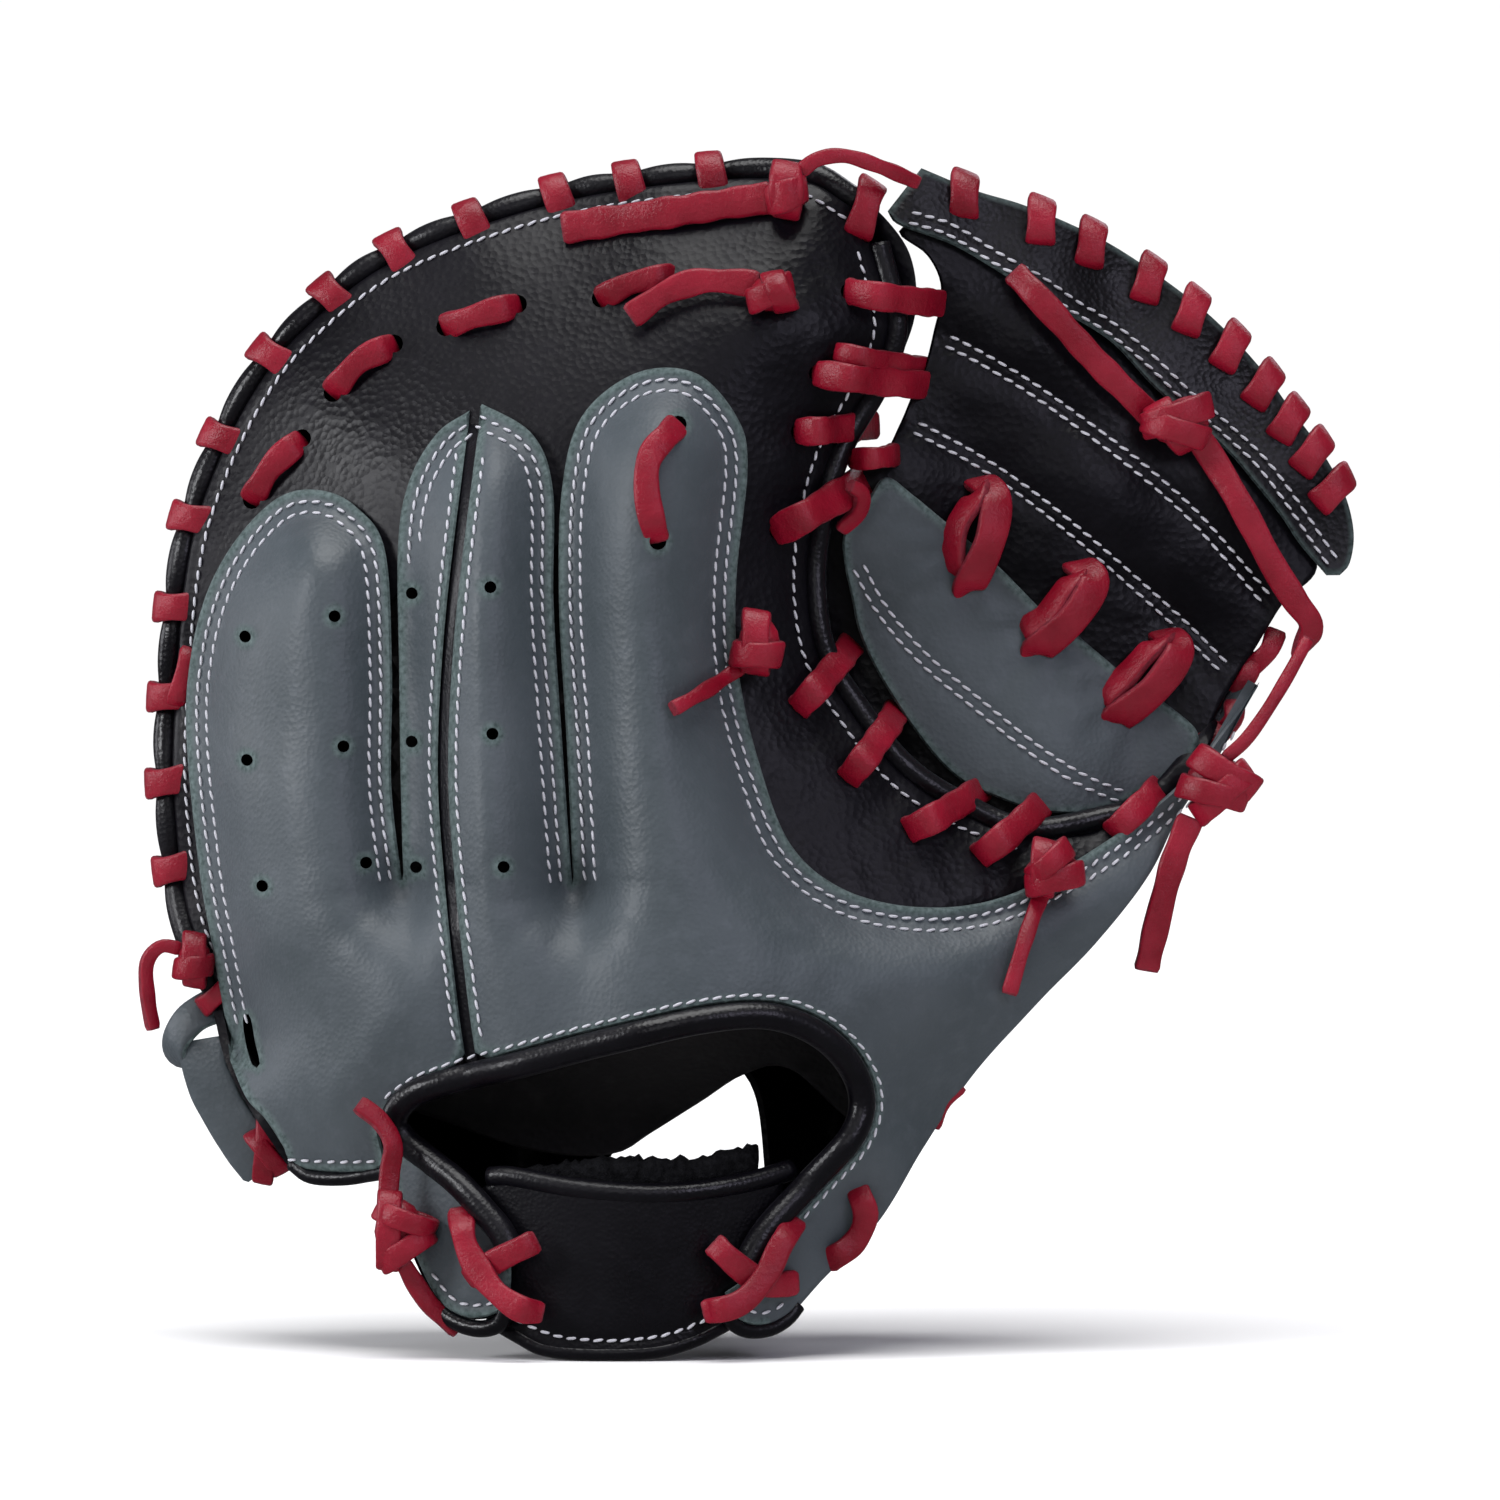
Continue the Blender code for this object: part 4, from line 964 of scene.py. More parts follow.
# ---------------------------------------------------------------- lacing
def bridge(name, start, end, width=LACE_WIDTH, bow=1.5, tuck=5.0, over=1.6):
    """A lace from a hole in the back, over the rolled edge, and down behind the web's edge."""
    start, end = np.array(start, float), np.array(end, float)
    t = np.array((0, 0.1, 0.3, 0.5, 0.7, 0.88, 1.0))
    x, z = (start[None] + (end - start)[None] * t[:, None]).T
    front = float(shell(*start)) - over
    roll = float(edge_depth(x[3], z[3])) - 2 - ROLL - over
    back = float(web(*end)) + tuck
    y = np.array((front + 3.0, front - 0.4, min(front, roll) - bow, roll - bow * 0.8,
                  roll + 0.25 * max(0, back - roll) - bow * 0.3, back - 3.0, back))
    path = np.stack((x, y, z), 1)
    along = np.gradient(path, axis=0)
    side = np.array((-(end - start)[1], 0, (end - start)[0]))
    side /= np.linalg.norm(side)
    ups = np.cross(side[None], along)
    ups *= -np.sign(ups[:, 1:2] + 1e-9)
    return lace(name, path, ups, width)


def loose(name, route, depth, width=3.5, thickness=2.3, curl=0.0):
    """A lace end that hangs in the air along (x, z) points, at one depth or at one for each point."""
    route = np.array(route, float)
    y = np.broadcast_to(np.asarray(depth, float), (len(route),))
    path = np.stack((route[:, 0], y, route[:, 1]), 1)
    turn = np.linspace(0, curl, len(path))
    ups = np.stack((np.sin(turn), -np.cos(turn), 0 * turn), 1)
    return lace(name, path, ups, width, thickness)


def knot(name, centre, size, wraps, width=5.6):
    """A pulled knot: turns of lace wrapped across one another round a small core."""
    centre, half = np.array(centre, float), np.array(size, float) / 2
    rows, sides = 9, 14
    down = np.linspace(0, math.pi, rows)
    round_ = np.linspace(0, math.tau, sides, endpoint=False)
    ball = np.array([(math.sin(d) * math.cos(a), math.cos(d), math.sin(d) * math.sin(a))
                     for d in down for a in round_])
    faces = [(i * sides + k, (i + 1) * sides + k, (i + 1) * sides + (k + 1) % sides,
              i * sides + (k + 1) % sides) for i in range(1, rows - 2) for k in range(sides)]
    faces += [(0, sides + k, sides + (k + 1) % sides) for k in range(sides)]
    last = (rows - 1) * sides
    faces += [(last, last - sides + (k + 1) % sides, last - sides + k) for k in range(sides)]
    keep = [0] + list(range(sides, last)) + [last]
    index = {old: new for new, old in enumerate(keep)}
    faces = [tuple(index[i] for i in f) for f in faces]
    ball = centre + ball[keep] * half * 0.8
    pieces = [place(f"{name}_core", ball, faces, RED, "red_rawhide", {"side": np.zeros(len(ball))})]
    for i, (yaw, scale, slip) in enumerate(wraps):
        yaw = math.radians(yaw)
        across = np.array((math.cos(yaw), 0.0, math.sin(yaw)))
        beside = np.array((-math.sin(yaw), 0.0, math.cos(yaw)))
        wide = scale / math.hypot(across[0] / half[0], across[2] / half[2]) - 1.0
        deep = half[1] * (0.82 + 0.14 * i)
        turns = np.linspace(-math.pi * 0.55, math.pi * 1.45, 21)
        path, ups = [], []
        for a in turns:
            out = across * math.cos(a) * wide + np.array((0, -1.0, 0)) * math.sin(a) * deep
            path.append(centre + out + beside * (slip + 0.9 * math.cos(a)))
            ups.append(across * math.cos(a) / wide + np.array((0, -1.0, 0)) * math.sin(a) / deep)
        pieces.append(lace(f"{name}_{i}", path, np.array(ups) * 5, width - 0.4 * i, 2.2, taper=False))
    return joined(name, pieces)


def web_edge_wraps():
    """The lacing over the top edge of the web."""
    marks = [(48, 256), (65, 249), (76, 244), (89, 236), (99, 229.5), (108, 221.5), (116, 213),
             (121.5, 205.5), (127.5, 198.5), (131.5, 189.5)]
    edge = smooth(WEB_TOP, 0.5)
    side = -normals(edge)
    fingers, thumb = [], []
    for i, mark in enumerate(marks):
        k = np.argmin(((edge - mark) ** 2).sum(1))
        point, out = edge[k] + side[k] * 1.2, side[k]
        wrap = edge_wrap(f"web_wrap_{i}", point, out,
                         lambda x, z: web(x, z) - 2.0, 6.4, 4.9, 0.35)
        (fingers if i < 5 else thumb).append(wrap)
    bend(joined("web_edge_lacing", fingers + thumb), "web_edge_lace_fingers", "web_edge_lace_thumb")


WEB_TOP = [(38, 260), (50, 255), (60, 252), (70, 248), (80, 243), (90, 236.5), (100, 229),
           (108, 221.5), (115, 213.5), (120, 206.5), (125, 200), (130, 192), (133, 185), (134.2, 178)]


def over_web(x, z):
    """The face of a layer that lies on the web."""
    return web(x, z) - LAYER


def lower_web(x, z):
    """The grey panel, lifted a little between its laces and creased towards their holes."""
    y = over_web(x, z)
    for hx, hz, turn in ((50, 178, -0.7), (70, 161, -0.75), (88, 147, -0.8)):
        dx, dz = x - hx, z - hz
        size = np.hypot(dx, dz)
        fan = np.arctan2(dz, dx) - turn
        y = y + 1.6 * np.exp(-(size / 9) ** 2)
        y = y + 0.4 * np.sin(fan * 11) * np.exp(-((size - 12) / 8) ** 2)
    return y - 1.6


def web_pieces():
    """The web's three panels and their stitching."""
    main = [(33, 246), (39, 241), (42, 235.5), (42.2, 230), (41, 225), (39, 217), (36, 210), (33, 203),
            (29, 196), (22, 192), (16, 185), (13.5, 172), (16, 156.5), (22, 143), (31.5, 130.5),
            (43.5, 121), (58.5, 114.5), (76, 112.5), (91, 117), (99, 126), (103, 138),
            (108, 147), (112, 153), (115, 158), (119, 164), (126, 171), (122, 182), (106, 202),
            (84, 222), (56, 242), (42, 249)]
    row_a = [(44, 223), (50, 220), (62, 213), (74, 204.5), (86, 195.5), (98, 185), (108, 174), (115.5, 165)]
    row_b = [(37, 204), (50, 197), (62, 189), (74, 179.5), (86, 169), (97, 159), (106, 150)]
    rows = [smooth(row_a, ROW_STEP), moved(row_a, TWIN, ROW_STEP),
            smooth(row_b, ROW_STEP), moved(row_b, TWIN, ROW_STEP)]
    seams = seam_lines(rows)

    def dimpled(x, z):
        y = web(x, z)
        for row in (row_a, row_b):
            near = distance(smooth(row, 4), x, z)
            y = y + 1.2 * np.exp(-(near / 5.5) ** 2)
        return y - 0.9 + 0.25 * waves(x, z, 11, 12)

    bend(leather("web_panel", smooth(main, 1.4, True), dimpled, BLACK_HIDE, "black_leather", lines=seams),
         "web_panel_fingers", "web_panel_thumb")
    threads = [stitches("web_stitching_panel", rows, dimpled)]

    lower = [(30, 192), (26, 187), (22, 182), (20.5, 178), (21, 172), (22.5, 165), (24, 158),
             (27, 151), (31, 144), (36, 136.5), (42, 129), (48, 124), (55, 121), (62, 118.5),
             (70, 117.5), (78, 118), (86, 121), (93, 125), (97, 128.5), (99.3, 132.5), (99, 135.5),
             (96, 138.5), (90, 143), (84, 147), (78, 152), (72, 157), (65, 162), (60, 167),
             (55, 172), (48, 178), (42, 183), (36, 188)]
    row = [(25, 173), (29, 165), (35, 157), (42, 150), (50, 143.5), (58, 137), (66, 131), (74, 126),
           (83, 122)]
    rows = [smooth(row, ROW_STEP), moved(row, TWIN, ROW_STEP)]
    seams = seam_lines(rows)
    bend(leather("web_lower_panel", smooth(lower, 1.2, True), lower_web, GREY_HIDE, "grey_leather",
                 lines=seams), "web_lower_panel_fingers", "web_lower_panel_thumb")
    threads.append(stitches("web_stitching_lower", rows, lower_web))

    under = [(128, 169.5), (122, 176.5), (118, 182.5), (112, 190), (105, 198), (90, 211), (80, 221.5),
             (68, 229), (56, 236.5), (45, 243), (33, 247.5), (30.5, 250.5)]
    band = np.vstack((smooth(WEB_TOP + [(133.2, 172), (131, 169.5)], 1.2), smooth(under, 1.2)))
    outer = [(35.5, 250.5), (45, 247.5), (55, 241.3), (65, 235.8), (72, 230.8), (80, 226), (87, 220.5),
             (92, 216), (97, 211), (103, 206), (108, 201.5), (113, 197), (118, 191), (123, 184),
             (127, 178), (130.5, 173)]
    rows = [smooth(outer, ROW_STEP), moved(outer, TWIN, ROW_STEP)]
    seams = seam_lines(rows)
    bend(leather("web_top_band", band, over_web, BLACK_RAW, "black_leather", lines=seams),
         "web_top_band_fingers", "web_top_band_thumb")
    threads.append(stitches("web_stitching_band", rows, over_web))
    bend(joined("web_stitching", threads))


def web_laces():
    """The lace across the web with its knot, and the three crossed laces."""
    def tie(x, z):
        return over_web(x, z) - 0.2

    bend(lying_lace("web_tie_strip", [(58.5, 237), (67, 228), (76, 218), (84, 210), (89, 205)], tie,
                    6.0, arch=1.5), "web_tie_lace")
    y = float(over_web(95, 203))
    bend(joined("web_tie", [
        knot("web_tie_wraps", (95, y - 4.2, 203.5), (17, 9.5, 12.5),
             ((-62, 1.0, -1.5), (12, 1.0, 1.8), (-25, 0.95, -1.5)), 6.6),
        lace("web_tie_tail", [(99, y - 2.5, 201), (103, y - 1.0, 195), (109, float(tie(109, 185)) - 2, 185),
                              (116, float(tie(116, 172)) - 2.2, 172),
                              (121, float(tie(121, 164)) - 2.0, 164),
                              (124.5, float(tie(124, 160)) - 0.6, 158.5),
                              (122, float(tie(124, 160)) + 4, 152)],
             [(0, -1, 0)] * 5 + [(0.3, -1, 0), (1, -0.6, 0)], 6.0)]), "web_tie_knot")
    for name, hole, top, spare in (("a", (47.5, 167), (52, 190), (45.5, 180)),
                                   ("b", (63, 153), (74, 171.5), (65.5, 161)),
                                   ("c", (80.5, 137.5), (93, 156), (84.0, 148.5))):
        mid = ((hole[0] + top[0]) / 2, (hole[1] + top[1]) / 2)
        side = np.array((top[1] - hole[1], hole[0] - top[0]), float)
        side /= np.linalg.norm(side)
        base = float(over_web(*mid))
        top_y = float(web(*top))
        first = [(hole[0], base + 2.0, hole[1]),
                 (hole[0] + side[0] * 1.5, base - 3.6, hole[1] + side[1] * 1.5 + 2),
                 (mid[0] + side[0] * 3.4, base - 5.6, mid[1] + side[1] * 3.4),
                 (top[0] + side[0] * 2.5, base - 3.0, top[1] - 3), (top[0] - 1, top_y - 1.0, top[1] + 0.5),
                 (top[0] - 2, top_y + 3.5, top[1] - 1)]
        second = [(hole[0] + 2.5, base + 1.0, hole[1] + 2.5),
                  (hole[0] - side[0] * 2, base - 2.4, hole[1] + 5),
                  (spare[0], base - 3.6, spare[1]),
                  ((spare[0] + top[0]) / 2 + 1, base - 2.8, (spare[1] + top[1]) / 2 + 2),
                  (top[0] + 1.5, top_y + 1.5, top[1] - 1)]
        ups = [(side[0] * 0.35, -1, side[1] * 0.35)] * len(first)
        ups[-2:] = [(0.1, -0.8, 0.8), (0, 0.1, 1)]
        pair = [lace(f"cross_{name}_over", first, ups, 7.4),
                lace(f"cross_{name}_under", second, [(-side[0], -0.9, -side[1])] * 5, 6.4)]
        bend(joined(f"web_cross_{name}", pair), f"web_cross_lace_{name}")


def crotch_laces():
    """The laces that bridge the crotch between the hand and the web."""
    for key, start, end, width, bow, *node in (
            ("1", (21.5, 233.2), (46, 229.5), 6.4, 2.2, "web_lace_1"),
            ("2c", (10.5, 202.4), (28, 203.2), 6.3, 1.6),
            ("2d", (22.5, 196), (34, 197), 5.0, 0.6),
            ("4", (10.5, 141.5), (24.5, 157), 6.4, 1.8, "web_lace_4"),
            ("5", (21.5, 126), (34.5, 142.5), 6.4, 1.8, "web_lace_5"),
            ("6", (34.8, 114.6), (54.5, 124.5), 6.6, 1.8, "web_lace_6"),
            ("7", (50.5, 108.6), (68, 122.5), 6.6, 1.8, "web_lace_7"),
            ("8", (80, 113.5), (93.5, 126), 6.0, 0.4)):
        bend(bridge(f"crotch_lace_{key}", start, end, width, bow), *node)
    pair = [bridge("crotch_lace_2a", (14.5, 215.2), (43, 211.5), 6.4, 2.0),
            bridge("crotch_lace_2b", (19, 220), (41, 215.5), 4.6, 0.4)]
    bend(joined("crotch_lace_2", pair), "web_lace_2")
    y = float(edge_depth(20, 186)) - 8.6
    loop = [(22, y, 190.5), (24.6, y + 2.2, 188.5), (24, y + 4.4, 184.5), (20, y + 6.6, 180.5)]
    pair = [bridge("crotch_lace_3a", (5.5, 180.2), (28.5, 193), 7.2, 3.0),
            lace("crotch_lace_3b", loop, [(0.6, -1, 0)] * 4, 3.6)]
    bend(joined("crotch_lace_3", pair), "web_lace_3")
    strands = []
    for k, (start, end) in enumerate((((104, 136.5), (99, 131)), ((107.5, 141.5), (104, 134)),
                                      ((112, 152), (106, 142)), ((117, 157), (110, 148)))):
        y = float(web(*start)) - 1.0
        middle = ((start[0] + end[0]) / 2 + 1.5, (start[1] + end[1]) / 2)
        strands.append(loose(f"web_heel_strand_{k}", (start, middle, end), (y + 4, y + 1, y + 3), 4.6))
    bend(joined("web_heel_strands", strands))


def back_laces():
    """The laces and knots on the back of the hand."""
    for name, route, node in (("a", [(-67.5, 225), (-60, 227.8), (-51.5, 230)], "running_lace_a"),
                              ("b", [(-92.5, 210.5), (-86.5, 217.4), (-79, 221)], "running_lace_b"),
                              ("c", [(-110.5, 186.5), (-106, 194), (-99.5, 200)], "running_lace_c")):
        bend(lying_lace(f"back_lace_{name}", route, shell, 5.6, arch=1.8, dip=4.0), node)
    bend(lying_lace("back_lace_d", [(-127.5, 141), (-126, 147), (-124.4, 153)], shell, 4.0, arch=0.6))
    bend(lying_lace("stall_lace", [(-16, 204.5), (-21.8, 198), (-22.6, 190), (-20.4, 179.5)], grey, 5.8,
                    arch=2.2, dip=3.6), "index_lace")

    y = float(shell(8, 253))
    turns = knot("top_wraps", (8, y - 4.6, 255.5), (9.5, 9.5, 13), ((80, 1.0, 0), (8, 1.0, -1.0)), 7.0)
    link = loose("top_link", [(11, 259.5), (15, 262.3), (21, 263), (29, 260.5), (37, 257)],
                 (y - 5, y - 5, y - 4.4, y - 2, y + 4), 3.4, 2.6)
    corner = edge_wrap("corner_wrap", np.array((27.5, 255.0)), np.array((0.55, 0.83)),
                       lambda x, z: edge_depth(x, z) - 2.5, 6.2, 7.5, 0.3)
    bend(joined("top_tie", [turns, link, corner]), "top_knot")

    y = float(shell(5, 233))
    turns = knot("second_wraps", (4.5, y - 4.4, 233), (11, 9, 10), ((12, 1.0, 0), (-80, 0.95, 2.0)), 6.0)
    tail = lying_lace("second_tail", [(2, 235), (-6, 235.6), (-12, 235.4), (-19, 232.8), (-26.5, 227.6)],
                      lambda x, z: shell(x, z) - 2.2, 5.6, arch=1.0, dip=0)
    stub = lying_lace("second_stub", [(-33, 231.5), (-26, 235), (-17, 236.6)], shell, 5.4, arch=0.6,
                      dip=3.5)
    bend(joined("second_tie", [turns, tail, stub]), "second_knot")

    y = float(edge_depth(-123, 85)) - 8.0
    turns = knot("little_edge_wraps", (-123, y, 85), (9.5, 8, 12.5), ((80, 1.0, 0), (-8, 0.95, -1.5)), 5.4)
    tail = loose("little_edge_tail", [(-126, 87.5), (-130.5, 88), (-133.6, 84), (-133.3, 76),
                                      (-132.2, 69.5)], (y, y - 1, y, y + 1, y + 1.5), 3.2, curl=0.8)
    bend(joined("little_edge_tie", [turns, tail]), "little_edge_knot")

    y = float(grey(2, 156))
    turns = knot("crotch_wraps", (2, y - 4.6, 156.5), (11.5, 9, 14.5),
                 ((80, 1.0, 0.8), (-12, 1.0, -2.6)), 6.4)
    tail = lying_lace("crotch_tail", [(0, 153), (-4, 149.8), (-10, 146.2), (-17, 142.6)],
                      lambda x, z: grey(x, z) - 1.2, 3.4, arch=0.8, dip=0)
    bend(joined("crotch_tie", [turns, tail]), "crotch_knot")


def thumb_laces():
    """The two knots on the thumb and their loose laces."""
    y = float(grey(66, 105))
    turns = knot("upper_wraps", (67, y - 4.8, 106), (13.5, 9.5, 12.5),
                 ((75, 1.0, 2.4), (5, 1.0, -2.0), (30, 0.9, 2.0)), 6.0)
    tail = lying_lace("upper_tail", [(64.5, 101), (62, 95), (59.5, 87.5), (57, 79)],
                      lambda x, z: grey(x, z) - 1.6, 3.6, arch=0.8, dip=0)
    bend(joined("upper_tie", [turns, tail]), "thumb_knot_upper")

    y = float(grey(103, 124)) - 6
    turns = knot("outer_wraps", (103, y, 124.5), (17, 9.5, 15.5),
                 ((-38, 1.0, 3.0), (35, 1.0, -2.5), (-20, 0.95, -2.2)), 6.4)
    strand = loose("outer_strand", [(105, 130), (109.5, 134), (114, 140), (119, 148), (123.5, 156)],
                   (y, y + 1, y + 3, y + 6, y + 10), 3.0, 2.6)
    bend(joined("outer_tie", [turns, strand]), "thumb_knot_outer")
    bend(loose("outer_edge_lace", [(40.5, 49.5), (42, 54), (46.5, 58.5)],
               tuple(float(grey(43, 54)) + d for d in (3.0, 1.2, 3.0)), 3.4))


def heel():
    """The wrist strap, its fleece pad, the tab it laces to and the wrist opening's rolled edge."""
    band = [(-66, 28), (-58, 38), (-52, 40), (-40, 38), (-30, 37), (-20, 36.6), (-10, 37.2), (0, 38.8),
            (7, 40), (5, 30), (-3, 14), (-6, 8), (-12, 4), (-20, 1.6), (-30, 0.8), (-40, 1.2),
            (-46, 3.2), (-54, 8), (-62, 16)]
    base = [(-54.5, 10.3), (-48, 7.4), (-42, 5.4), (-36, 4.8), (-30, 4.6), (-24, 5.0), (-18, 5.9), (-12, 8),
            (-6, 10.5)]
    row = smooth(base, ROW_STEP)
    bend(leather("strap", smooth(band, 1.4, True), strap, SMOOTH_BLACK, "black_leather",
                 lines=seam_lines([row])), "wrist_strap")
    threads = [stitches("strap_stitching", [row], strap)]
    top = smooth([(-57, 39.8), (-52, 40), (-40, 38), (-30, 37), (-20, 36.6), (-10, 37.2), (0, 38.8),
                  (9, 41.2)], 1.2)
    foot = smooth([(-57, 9), (-54, 7), (-50, 4.8), (-46, 2.8), (-40, 1.9), (-30, 1.7), (-20, 2.3),
                   (-12, 4.6), (-5, 8)], 1.2)
    path, low = deep_line(top, strap, 1.6), deep_line(foot, strap, 1.4)
    bend(joined("strap_rolls", [tube("strap_roll_top", path, 2.4), tube("strap_roll_foot", low, 1.7)]))

    pad = smooth([(-58, 36), (-50, 41.5), (-38, 43.6), (-25, 44.4), (-12, 44), (-2, 46.5), (2, 44),
                  (-2, 24), (-11, 10), (-30, 6), (-46, 8), (-58, 18)], 1.0, True)
    pad[:, 1] += RNG.normal(0, 0.35, len(pad)) * (pad[:, 1] > 38)
    obj = leather("fleece", pad, lambda x, z: strap(x, z) + 4.0 + 0.6 * waves(x, z, 5, 21), FLEECE,
                  "fleece_pile", 6.4, spacing=1.8, round_off=2.4)
    bend(obj, "strap_fleece_pad")

    tab = [(-79, 44), (-77.5, 49.5), (-73.5, 44.5), (-66, 39), (-59.5, 32.5), (-55, 27.5), (-52.5, 22),
           (-52.8, 14), (-55.5, 10.5), (-60, 9.2), (-64, 9.8), (-68.5, 13), (-73, 21), (-77, 32)]
    side = smooth([(-55.5, 13), (-60, 12), (-65, 13), (-70, 19)], ROW_STEP)
    bend(leather("heel_tab", smooth(tab, 1.2, True), over_strap, GREY_HIDE, "grey_leather",
                 lines=seam_lines([side])), "heel_tab_little")
    threads.append(stitches("tab_stitching", [side], over_strap))
    lobe = smooth([(-70.5, 13), (-66, 8.8), (-60, 6.8), (-55, 8), (-53, 12)], 1.0)
    path = deep_line(lobe, over_strap, 1.6)
    lobe_2 = smooth([(-5.5, 14), (-4.5, 9.2), (-1, 6.6), (4, 6.6), (8, 8.6), (10.5, 11.5)], 1.0)
    path_2 = deep_line(lobe_2, grey, 1.4)
    bend(joined("heel_rolls", [tube("heel_roll_little", path, 1.9), tube("heel_roll_thumb", path_2, 1.7)]))

    rim = smooth([(-52, 21.5), (-54, 27.5), (-58.5, 33), (-64, 38.6), (-70, 43), (-75.5, 47.2),
                  (-78.2, 51.5), (-76, 56), (-70, 59.5)] + OPENING[2:], 1.0)
    bend(tube("opening_roll", deep_line(rim, grey, -0.2), 3.0), "opening_binding_fingers",
         "opening_binding_thumb")
    foot = smooth([(-101, 41), (-97, 38.4), (-90, 38.2), (-84, 39.2), (-79, 40.4)], 1.0)
    bend(tube("little_heel_roll", deep_line(foot, grey, 1.5), 1.6))
    bend(joined("heel_stitching", threads))

    hand = [(-108, 150), (-96, 172), (-84, 160), (-76, 172), (-60, 190), (-46, 178), (-38, 186),
            (-20, 200), (-9, 186), (-10, 150), (-4, 125), (6, 106), (30, 92), (56, 92), (70, 98),
            (74, 101), (69, 94), (58, 82), (40, 63), (26, 48), (9, 61), (-1, 60), (-11, 53.5), (-22, 46.5),
            (-30, 42), (-44, 42), (-62, 47), (-90, 60), (-101, 86), (-111, 115)]
    bend(leather("lining", smooth(hand, 2.5, True), lambda x, z: hand_floor(x, z) + 0.6, LINING,
                 "lining_leather", 1.4, spacing=4.0), "hand_lining_fingers", "hand_lining_thumb")


def over_strap(x, z):
    """The face of the tab that lies on the strap."""
    return strap(x, z) - 4.6


def heel_laces():
    """The laces at the strap's ends, the heel knot and the little-finger loop."""
    def low(x, z):
        return strap(x, z) - 5.4

    def high(x, z):
        return strap(x, z) - 8.0

    left = [lying_lace("x_left_under", [(-61.5, 18), (-55, 22.5), (-47, 26.5)], low, 5.6, arch=0.6),
            lying_lace("x_left_over", [(-63.5, 33), (-62, 25), (-57, 17), (-51, 12.3), (-45.5, 10.8)], high,
                       5.6, arch=0.6, dip=5.0)]
    bend(joined("strap_lacing_little", left), "strap_lace_little")
    right = [lying_lace("x_right_under", [(-8, 26), (-2, 20.5), (3.5, 16.8), (10, 16.8)], low, 5.8,
                        arch=0.6),
             lying_lace("x_right_over", [(-10, 11), (-2, 13.2), (3.5, 19), (6.5, 25), (10, 30.5)], high,
                        5.6, arch=0.4, dip=5.0)]
    bend(joined("strap_lacing_thumb", right), "strap_lace_thumb")
    bend(lying_lace("heel_lace", [(23.5, 37), (25.4, 31), (22.8, 25), (17, 21)], grey, 5.6, arch=2.0,
                    dip=3.0), "thumb_heel_lace")

    y = float(strap(-71, 26)) - 9.0
    turns = knot("heel_wraps", (-77, y, 28), (13.5, 9.5, 18),
                 ((82, 1.0, 2.2), (25, 1.0, -4), (-28, 1.0, 3.0)), 5.6)
    up = loose("heel_tail_up", [(-79.5, 34), (-79, 41), (-78.3, 47), (-81, 52), (-86, 56)],
               (y, y + 1, y + 1, y + 2, y + 2), 4.4, curl=0.9)
    down = loose("heel_tail_down", [(-76, 21), (-73.5, 16.5), (-70, 11.5), (-64, 6)],
                 (y + 1, y + 2, y + 2, y + 3), 4.2, curl=0.7)
    bend(joined("heel_tie", [turns, up, down]), "heel_knot")

    fold = lace("loop_fold", [(-113, 7, 74.5), (-118, 4, 74.5), (-124, 3, 71.5), (-127.6, 5, 66),
                              (-126, 8, 61.5), (-120, 9, 61)],
                [(0.1, -1, 0.3), (-0.1, -1, 0.5), (-0.5, -1, 0.5), (-1, -0.7, 0), (-0.6, -0.3, -0.9),
                 (0, 0.4, -1)], 8.5, 2.3, material=GREY_HIDE, slot="grey_leather", rough=0.04)
    run = lace("loop_strap", [(-121.5, 2, 67), (-120.5, 1, 60), (-117, 0, 52), (-112.5, -1, 45),
                              (-107.5, -1, 38)],
               [(-0.5, -1, 0)] * 5, 11.5, 2.3, material=GREY_HIDE, slot="grey_leather", rough=0.04)
    twist = knot("loop_twist", (-106.5, -4, 42.5), (8, 7, 16), ((78, 1.0, 1.0), (-62, 0.95, -0.6)), 4.8)
    bend(joined("little_finger_strap", [fold, run, twist]), "little_finger_loop")


def opening_seam():
    """White stitching round the wrist opening, beside its rolled edge."""
    trim = moved(OPENING, -4.4, ROW_STEP)
    bend(stitches("opening_stitching", [trim[(trim[:, 1] > 50) | (trim[:, 0] > 0)]], grey))


# ---------------------------------------------------------------- free lace ends
def lace_end(name, route, ups, width, node, body):
    """A free end of lace that rides on one body."""
    obj = lace(name, route, ups, width, 2.6)
    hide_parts(node)
    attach(obj, body)


def free_ends():
    """The two free ends that are long enough to be cords."""
    route = [(x, float(shell(*under)) - lift, z) for x, z, under, lift in
             ((5, 253.8, (3, 253), 4.2), (-5, 252.4, (-5, 252), 3.6), (-18, 250.4, (-18, 250), 3.2),
              (-31, 248.4, (-31, 248), 2.6), (-41.5, 246.8, (-41, 246), 2.4))]
    lace_end("top_tail", route, [(0, -1, 0.05)] * 5, 7.0, "top_lace_end", FOLD["parent"])
    y = float(grey(103, 124)) - 6
    route = [(97.5, y, 117.0), (94.2, y - 0.6, 109), (91.8, y - 0.8, 101), (89.6, y - 0.4, 92),
             (87.6, y + 0.6, 83)]
    lace_end("outer_tail", route, [(0, -1, 0), (0.1, -1, 0), (0.2, -1, 0), (0.3, -1, 0), (0.35, -1, 0)],
             5.8, "thumb_knot_outer_end", FOLD["child"])


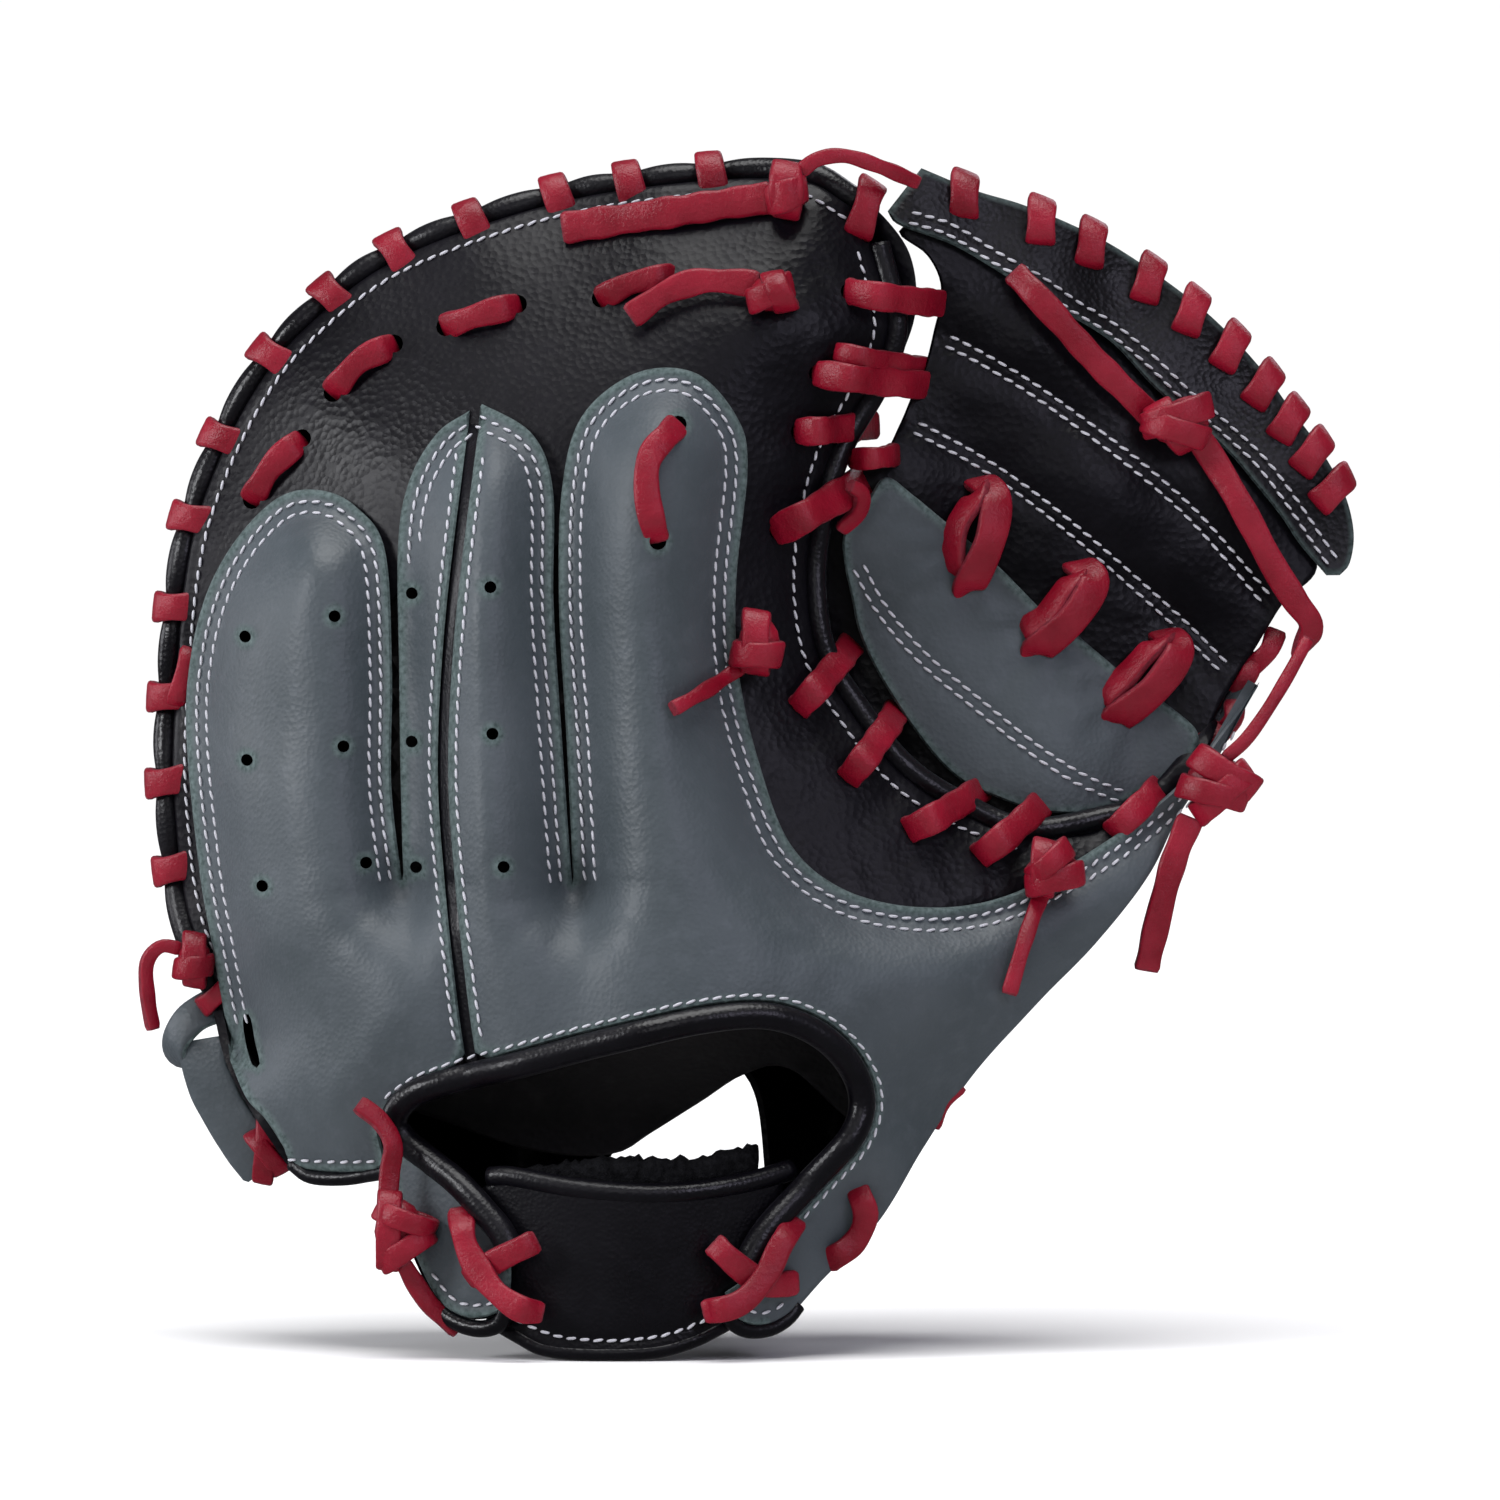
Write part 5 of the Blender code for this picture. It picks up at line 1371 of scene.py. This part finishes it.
# ---------------------------------------------------------------- camera, light and the build
def add_camera():
    """A long lens from the back of the hand, a little above the middle of the mitt."""
    scene = bpy.context.scene
    data = bpy.data.cameras.new("camera")
    camera = bpy.data.objects.new("camera", data)
    scene.collection.objects.link(camera)
    scene.camera = camera
    away, lift = 5.0, math.radians(2.5)
    target = Vector((SHIFT[0] * MM, 0.0, 0.1315))
    camera.location = target + Vector((0, -math.cos(lift), math.sin(lift))) * away
    camera.rotation_euler = (math.pi / 2 - lift, 0, 0)
    data.sensor_width = 36
    data.lens = 36 * (away - 0.03) / 0.330
    data.clip_end = 500
    scene.view_settings.view_transform = "Standard"
    scene.view_settings.look = "None"


def add_world():
    """A white backdrop that lights the mitt only faintly."""
    world = bpy.data.worlds.new("studio")
    world.use_nodes = True
    tree = world.node_tree
    fill = tree.nodes["Background"]
    fill.inputs[0].default_value = (0.95, 0.94, 1.0, 1)
    fill.inputs[1].default_value = 0.12
    backdrop = tree.nodes.new("ShaderNodeBackground")
    backdrop.inputs[0].default_value = (1, 1, 1, 1)
    seen = tree.nodes.new("ShaderNodeMixShader")
    tree.links.new(tree.nodes.new("ShaderNodeLightPath").outputs["Is Camera Ray"], seen.inputs[0])
    tree.links.new(fill.outputs[0], seen.inputs[1])
    tree.links.new(backdrop.outputs[0], seen.inputs[2])
    tree.links.new(seen.outputs[0], tree.nodes["World Output"].inputs[0])
    bpy.context.scene.world = world


def add_lights():
    """A broad overhead light and five soft boxes round the mitt."""
    scene = bpy.context.scene
    sun = bpy.data.lights.new("overhead", "SUN")
    sun.energy = 3.05
    sun.angle = math.radians(50)
    high = bpy.data.objects.new("overhead", sun)
    high.rotation_euler = (math.radians(6), 0, 0)
    scene.collection.objects.link(high)
    lights = (("key", (-1.55, -0.8, 0.85), 0.6, 18.5, (0.96, 0.97, 1.0)),
              ("front", (-0.1, -2.2, 1.0), 0.9, 3.0, (0.96, 0.96, 1.0)),
              ("side", (0.95, -1.35, 0.85), 0.6, 5.0, (0.82, 0.79, 1.0)),
              ("rim", (-1.2, 0.3, 0.35), 0.5, 3.0, (0.95, 0.95, 1.0)),
              ("back", (0.8, 1.9, 1.2), 0.8, 5.0, (0.92, 0.92, 1.0)))
    aim = Vector((0, 0, 0.12))
    for name, spot, size, power, colour in lights:
        light = bpy.data.lights.new(name, "AREA")
        light.size = size
        light.energy = power
        light.color = colour
        obj = bpy.data.objects.new(name, light)
        obj.location = spot
        obj.rotation_euler = (aim - Vector(spot)).to_track_quat("-Z", "Y").to_euler()
        scene.collection.objects.link(obj)


def add_floor():
    """A matt white floor, for the shadow under the mitt."""
    floor_mesh = bpy.data.meshes.new("floor")
    half = 200.0
    floor_mesh.from_pydata([(-half, -half, 0), (half, -half, 0), (half, half, 0), (-half, half, 0)], [],
                           [(0, 1, 2, 3)])
    floor = bpy.data.objects.new("floor", floor_mesh)
    bpy.context.scene.collection.objects.link(floor)
    pale = bpy.data.materials.new("floor")
    pale.use_nodes = True
    for key, value in (("Base Color", (0.95, 0.95, 0.95, 1)), ("Roughness", 0.95),
                       ("Specular IOR Level", 0.0)):
        pale.node_tree.nodes["Principled BSDF"].inputs[key].default_value = value
    floor_mesh.materials.append(pale)
    floor.visible_glossy = False


add_camera()
add_world()
add_lights()
add_floor()
free_ends()
back_leather()
back_shell()
palm_side()
side_walls()
edge_roll()
web_pieces()
web_edge_wraps()
web_laces()
crotch_laces()
back_laces()
thumb_laces()
heel()
heel_laces()
opening_seam()
